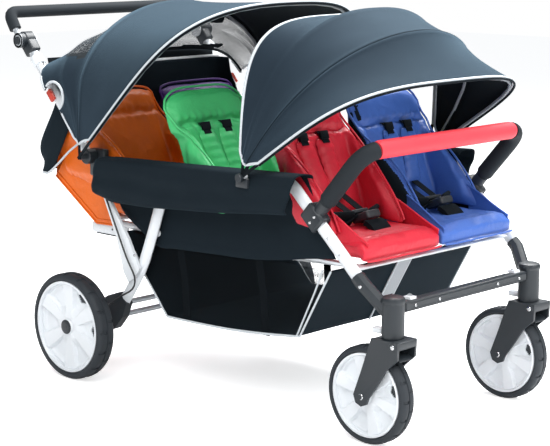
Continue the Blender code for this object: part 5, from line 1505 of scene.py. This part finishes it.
def seats():
    pads = {"rear": inflated(seat_back_pad("rear"), "rear_back")}
    pads["front"] = inflated(seat_back_pad("front"), "front_back")
    for row in ("front", "rear"):
        sew_back(pads[row], row)
        pads[row].normal_update()
        blacked(pads[row])
    pads["middle"] = placed(pads["front"].copy(), (-ROW_PITCH, 0, 0))
    pan = inflated(seat_pan_pad(), "pan", cap=0.005)
    sew_pan(pan)
    flat = {"axis": (0, 0, 1), "anchor": (AXIS_X - 0.6, 0, SEAT_HINGE.z), "keep": 0.3}
    for row in ROWS:
        for side, s in SIDES.items():
            finish = LEATHER[SEAT_COLOURS[row, side]]
            body = f"seat_back_{row}_{side}"

            def sided(bm):
                return bm if s < 0 else mirrored(bm)

            def coloured(name, bm, materials, on, sharp, stands_for=None, padding=None):
                """One piece in the seat's own leathercloth. A piece that rides the back flattens with the frame."""
                made = piece(name, bm, materials, on, sharp)
                if stands_for:
                    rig.replaces(made, stands_for)
                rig.slot(made, "leathercloth_" + SEAT_COLOURS[row, side])
                if padding:
                    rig.padded(made, padding)
                if on == body:
                    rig.squash(made, "frame_fold", **flat)

            coloured(f"{body}_cushion", sided(pads[row].copy()), [finish, BLACK_CLOTH], body, 0, body, 0.6)
            coloured(f"{body}_piping", sided(piping(back_edge(row), 0.0030, 8, 200)), finish, body, 60)
            if row == "rear":
                coloured(f"rear_sling_{side}", sided(rear_sling()), finish, body, 60)
            else:
                shoulders = joined(shoulder_pad(row, -0.040), shoulder_pad(row, 0.040))
                coloured(f"shoulder_pads_{row}_{side}", sided(shoulders), finish, body, 60, padding=0.5)
            made = piece(f"harness_{row}_{side}", sided(harness(row)), [BLACK_WEBBING, BLACK_PLASTIC, GREY_TAPE],
                         body, 35)
            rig.squash(made, "frame_fold", **flat)
            cushion = sided(widened(pan.copy()) if row == "front" else pan.copy())
            placed(cushion, (row_shift(row), 0, 0))
            coloured(f"seat_pan_{row}_{side}_cushion", cushion, finish, "frame", 0, f"seat_pan_{row}_{side}", 0.6)
            seams, under = pan_edges()
            edge = joined(piping(seams, 0.0020, 8, 160), piping(under, 0.0026, 8, 120))
            edge = sided(widened(edge) if row == "front" else edge)
            placed(edge, (row_shift(row), 0, 0))
            coloured(f"seat_pan_{row}_{side}_piping", edge, finish, "frame", 60)
            coloured(f"seat_gussets_{row}_{side}", sided(gusset(row)), finish, body, 60)


# ---------------------------------------------------------------- side covers, basket and curtain

PANEL_Y, FLAP_Y = 0.2830, 0.3475
COVER_REAR, COVER_FRONT = -0.968, -0.240
STRIP_SHARE, STRIP_RISE = 0.30, 0.012  # the part of the flap's cloth that lies over the rail, and its height


def polyline(points):
    """Points in the stroller's middle plane, from their X and Z."""
    return [Vector((x, 0, z)) for x, z in points]


def hung_cloth(name, bm, finish, rests_on, stands_for, thickness=None, turned_over=False):
    """A hanging sheet of black cloth on the frame."""
    made = piece(name, bm, finish, None, 60)
    if turned_over:
        made.data.flip_normals()
    declared_sheet(made, "hung", rests_on)
    if thickness:
        thickened(made, thickness, 0.0)
    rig.ride(made, "frame")
    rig.replaces(made, stands_for)
    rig.slot(made, "black_cloth")


def side_covers():
    low = smooth_path(polyline([(-0.972, 0.506), (-0.940, 0.497), (-0.880, 0.489), (-0.640, 0.500), (-0.450, 0.516),
                                (-0.300, 0.530), (-0.272, 0.534)]), 6)
    panel_top = polyline([(-0.965, 0.600), (-0.600, 0.612), (-0.262, 0.624)])
    panel_low = smooth_path(polyline([(-0.958, 0.505), (-0.930, 0.455), (-0.862, 0.412), (-0.790, 0.377),
                                      (-0.720, 0.380), (-0.560, 0.387), (-0.450, 0.392), (-0.340, 0.405),
                                      (-0.252, 0.421), (-0.165, 0.432)]), 6)
    for side, s in SIDES.items():
        def flap(u, v):
            x = COVER_REAR + u * (COVER_FRONT - COVER_REAR)
            strip = 0.601 + u * 0.028 - STRIP_RISE
            bottom = along(low, u)
            if v < STRIP_SHARE:
                a = pi * v / STRIP_SHARE
                y = (PANEL_Y + FLAP_Y) / 2 - (FLAP_Y - PANEL_Y) / 2 * cos(a)
                rise = sin(a) ** 0.6 if sin(a) > 0 else 0
                return Vector((x, s * y, strip + STRIP_RISE * rise))
            t = (v - STRIP_SHARE) / (1 - STRIP_SHARE)
            roll = 0.0045 * sin(pi * t) + 0.0030 * sin(3.0 * pi * t + 2.2 * wander(u * 3, 1.0, s)) * sin(pi * t)
            waves = 0.0030 * wander(u * 7, t * 2.5, 3.0 * s) * fade(t, 0.0, 0.3)
            tuck = -0.008 * (ridge(t, 1.0, 0.05)) + 0.006 * (ridge(u, 0.0, 0.02) * t)
            y = FLAP_Y + 0.001 + roll + waves + tuck
            lean = x + (bottom.x - x) * t
            z = strip + (bottom.z - strip) * t
            return Vector((lean, s * y, z + 0.002 * wander(u * 5, 0.3, s) * t))

        hung_cloth(f"side_flap_{side}", cloth_grid(120, 44, flap, (0.72, 0.19)), BLACK_CLOTH,
                   [f"side_rail_{side}_finished"], f"side_cover_{side}", 0.0022, s > 0)

        def panel(u, v):
            p = along(panel_low, u).lerp(along(panel_top, u), v)
            waves = 0.0022 * wander(u * 5, v * 3, 8.0 * s) + 0.0012 * wander(u * 16, v * 5, 2.0)
            hem = 0.0012 * ridge(v, 0.05, 0.02)
            return Vector((p.x, s * (PANEL_Y + 0.0004 + abs(waves) * sin(pi * v) + hem), p.z))

        hung_cloth(f"side_panel_{side}", cloth_grid(120, 36, panel, (0.76, 0.2)), BLACK_CLOTH,
                   [f"side_rail_{side}_finished"], f"side_cover_{side}", 0.0018, s > 0)
        snaps = [bolt(Vector((x, s * (FLAP_Y + 0.0015), z)), (0, s, 0), 0.0042, 0.0022)
                 for x, z in ((-0.885, 0.518), (-0.690, 0.517), (-0.500, 0.528), (-0.305, 0.545))]
        piece(f"cover_snaps_{side}", joined(*snaps), DARK_METAL, "frame", 35)


BASKET_HALF = 0.2800
BASKET_REAR = ((-0.925, 0.399), (-0.888, 0.345), (-0.848, 0.287), (-0.765, 0.192))
BASKET_FLOOR = ((-0.765, 0.192), (-0.640, 0.194), (-0.520, 0.199), (-0.400, 0.209), (-0.285, 0.222))
BASKET_FRONT = ((-0.184, 0.399), (-0.218, 0.340), (-0.285, 0.222))


def basket():
    floor = smooth_path(polyline(BASKET_FLOOR), 6)
    rear, front = polyline(BASKET_REAR), polyline(BASKET_FRONT)
    for side, s in SIDES.items():
        def wall(u, v):
            left, right = along(rear, 1 - v), along(front, 1 - v)
            p = left.lerp(right, u) + (along(floor, u) - floor[0].lerp(floor[-1], u)) * (1 - v)
            bulge = 0.0014 * wander(u * 4, v * 3, s) * sin(pi * v)
            return Vector((p.x, s * (BASKET_HALF - 0.0022 + bulge * 0.5), p.z))

        hung_cloth(f"basket_side_{side}", cloth_grid(80, 30, wall, (0.58, 0.2)), BLACK_MESH, [f"side_panel_{side}"],
                   "basket", turned_over=s > 0)
    tray_line = [*rear, *floor[1:], *front[::-1][1:]]

    def tray(u, v):
        p = along(tray_line, v)
        y = (u - 0.5) * 2 * (BASKET_HALF - 0.0025)
        sag = 0.0014 * sin(pi * u) * wander(v * 9, u * 3, 6.0)
        return Vector((p.x, y, p.z + 0.0015 + sag))

    hung_cloth("basket_tray", cloth_grid(60, 100, tray, (0.56, 0.95)), BLACK_CLOTH,
               ["side_panel_right", "side_panel_left"], "basket", 0.0024)
    trims, straps = [], []
    for s in (-1, 1):
        y = s * (BASKET_HALF - 0.0004)
        for line, radius, count in ((rear[1:], 0.0026, 40), (floor, 0.0030, 80), (front, 0.0026, 50)):
            trims.append(piping([Vector((p.x, y, p.z)) for p in line], radius, 8, count))
        inner = [Vector((p.x - 0.026 + 0.008 * k, y, p.z)) for k, p in enumerate(front)]
        trims.append(piping(inner, 0.0024, 8, 50))
        for x0, x1 in ((-0.720, -0.700), (-0.430, -0.412)):
            drop = ((x0, 0.396), (x1, 0.300), (x1 + 0.006, 0.203))
            straps.append(webbing([Vector((x, s * (BASKET_HALF - 0.005), z)) for x, z in drop], 0.026, 0.0018,
                                  (1, 0, 0)))
    middle = [Vector((p.x + 0.0040, 0, p.z)) for p in front]
    for y in (-0.025, 0.025):
        trims.append(piping([p + Vector((0, y, 0)) for p in middle], 0.0024, 8, 40))
    tape = webbing([along(middle, 0.02), along(middle, 0.3), along(middle, 0.62)], 0.048, 0.0016, (0, 1, 0))
    piece("basket_front_tape", tape, PALE_TAPE, "frame", 60)
    piece("basket_piping", joined(*trims), WHITE_PIPING, "frame", 60)
    piece("basket_straps", joined(*straps), BLACK_WEBBING, "frame", 60)


def curtain():
    """The cloth wall behind the rear seats, which folds onto the push frame."""
    wall = ((-1.187, 0.822), (-1.188, 0.775), (-1.198, 0.712), (-1.262, 0.600), (-1.250, 0.535))
    front = (-1.135, -1.125, -1.100, -1.155, -1.200)
    half = 0.3130
    sections = []
    for (x, z), edge in zip(wall, front):
        corner = rounded_path([(edge, -half, z), (x, -half, z), (x, half, z), (edge, half, z)], 0.030, 6)
        sections.append(spaced(corner, 96))

    def place(u, v):
        k = min(int(u * 96), 95)
        rows = [section[k].lerp(section[k + 1], u * 96 - k) for section in sections]
        line = smooth_path(rows, 6)
        p = along(line, 1 - v)
        push = 0.0030 * wander(u * 8, v * 3, 4.0) * sin(pi * v)
        out = Vector((-1, 0, 0)) if 0.25 < u < 0.75 else Vector((0, -1 if u < 0.5 else 1, 0))
        return p + out * push

    made = piece("rear_curtain_cloth", cloth_grid(96, 40, place, (0.75, 0.3)), BLACK_CLOTH, None, 60)
    declared_sheet(made, "hung", ["handle_frame_finished"])
    thickened(made, 0.0022, 0.0)
    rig.ride(made, "handle_frame")
    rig.replaces(made, "rear_curtain")
    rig.slot(made, "black_cloth")
    crumple = {"axis": (-0.756, 0, -0.654), "anchor": (AXIS_X + REAR_PIVOT[0], 0, REAR_PIVOT[1]), "keep": 0.15}
    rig.squash(made, "frame_fold", **crumple)
    trims = []
    for s in (-1, 1):
        edge = smooth_path([Vector((x, s * half, z)) for x, z in ((-1.076, 0.628), (-1.120, 0.600), (-1.165, 0.565),
                                                                    (-1.210, 0.534), (-1.236, 0.532))], 6)
        trims.append(piping(edge, 0.0032, 8, 50))
    made = piece("curtain_piping", joined(*trims), WHITE_PIPING, "handle_frame", 60)
    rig.squash(made, "frame_fold", **crumple)


def brake_line():
    line = frame["nodes"]["brake_cable"]
    bm = bmesh.new()
    bm.from_mesh(line.data)
    bmesh.ops.remove_doubles(bm, verts=bm.verts, dist=2e-5)
    made = piece("brake_line", bm, CABLE_BLACK, "frame", 60, shift=False)
    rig.replaces(made, "brake_cable")


# ---------------------------------------------------------------- stage

def stage():
    bm = bmesh.new()
    bmesh.ops.create_grid(bm, x_segments=1, y_segments=1, size=12)
    floor = piece("floor", bm, [], None, 0, shift=False)
    made, tree, shader = started("floor", Roughness=0.85, Specular_IOR_Level=0.1)
    shader.inputs["Base Color"].default_value = (0.93, 0.935, 0.94, 1)
    seen = node(tree, "ShaderNodeLightPath").outputs["Is Camera Ray"]
    glow = node(tree, "ShaderNodeEmission", {"Color": (1, 1, 1, 1), "Strength": maths(tree, "MULTIPLY", seen, 0.62)})
    both = node(tree, "ShaderNodeAddShader", {0: shader.outputs[0], 1: glow.outputs[0]})
    tree.links.new(both.outputs[0], tree.nodes["Material Output"].inputs["Surface"])
    floor.data.materials.append(made)
    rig.stage(floor)

    world = bpy.data.worlds.new("studio")
    scene.world = world
    world.use_nodes = True
    tree = world.node_tree
    tree.nodes.clear()
    path = node(tree, "ShaderNodeLightPath").outputs
    seen = maths(tree, "MAXIMUM", path["Is Camera Ray"], path["Is Transmission Ray"])
    white = node(tree, "ShaderNodeBackground", {"Color": (1, 1, 1, 1), "Strength": 1.0})
    soft = node(tree, "ShaderNodeBackground", {"Color": (0.93, 0.965, 1.0, 1), "Strength": 0.38})
    blend = node(tree, "ShaderNodeMixShader", {0: seen, 1: soft.outputs[0], 2: white.outputs[0]})
    tree.links.new(blend.outputs[0], node(tree, "ShaderNodeOutputWorld").inputs["Surface"])
    for name, spot, size, power in (("key", (1.6, -2.6, 3.4), 2.6, 132), ("fill", (3.6, 0.4, 2.2), 2.4, 70),
                                    ("top", (-0.1, 1.4, 3.4), 2.6, 330)):
        lamp = bpy.data.lights.new(name, "AREA")
        lamp.energy = power
        lamp.size = size
        holder = bpy.data.objects.new(name, lamp)
        holder.location = spot
        holder.rotation_euler = (Vector((0, 0, 0.5)) - Vector(spot)).to_track_quat("-Z", "Y").to_euler()
        scene.collection.objects.link(holder)


wheels()
casters()
frame_parts()
fasteners()
handle()
bumper()
hoods()
seats()
side_covers()
basket()
curtain()
brake_line()
stage()

bpy.context.view_layer.update()
with open("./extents.json", "w") as sizes:
    json.dump({"solid": [list(corner) for corner in solid_box],
               "seen": [list(corner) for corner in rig.bounds()]}, sizes)
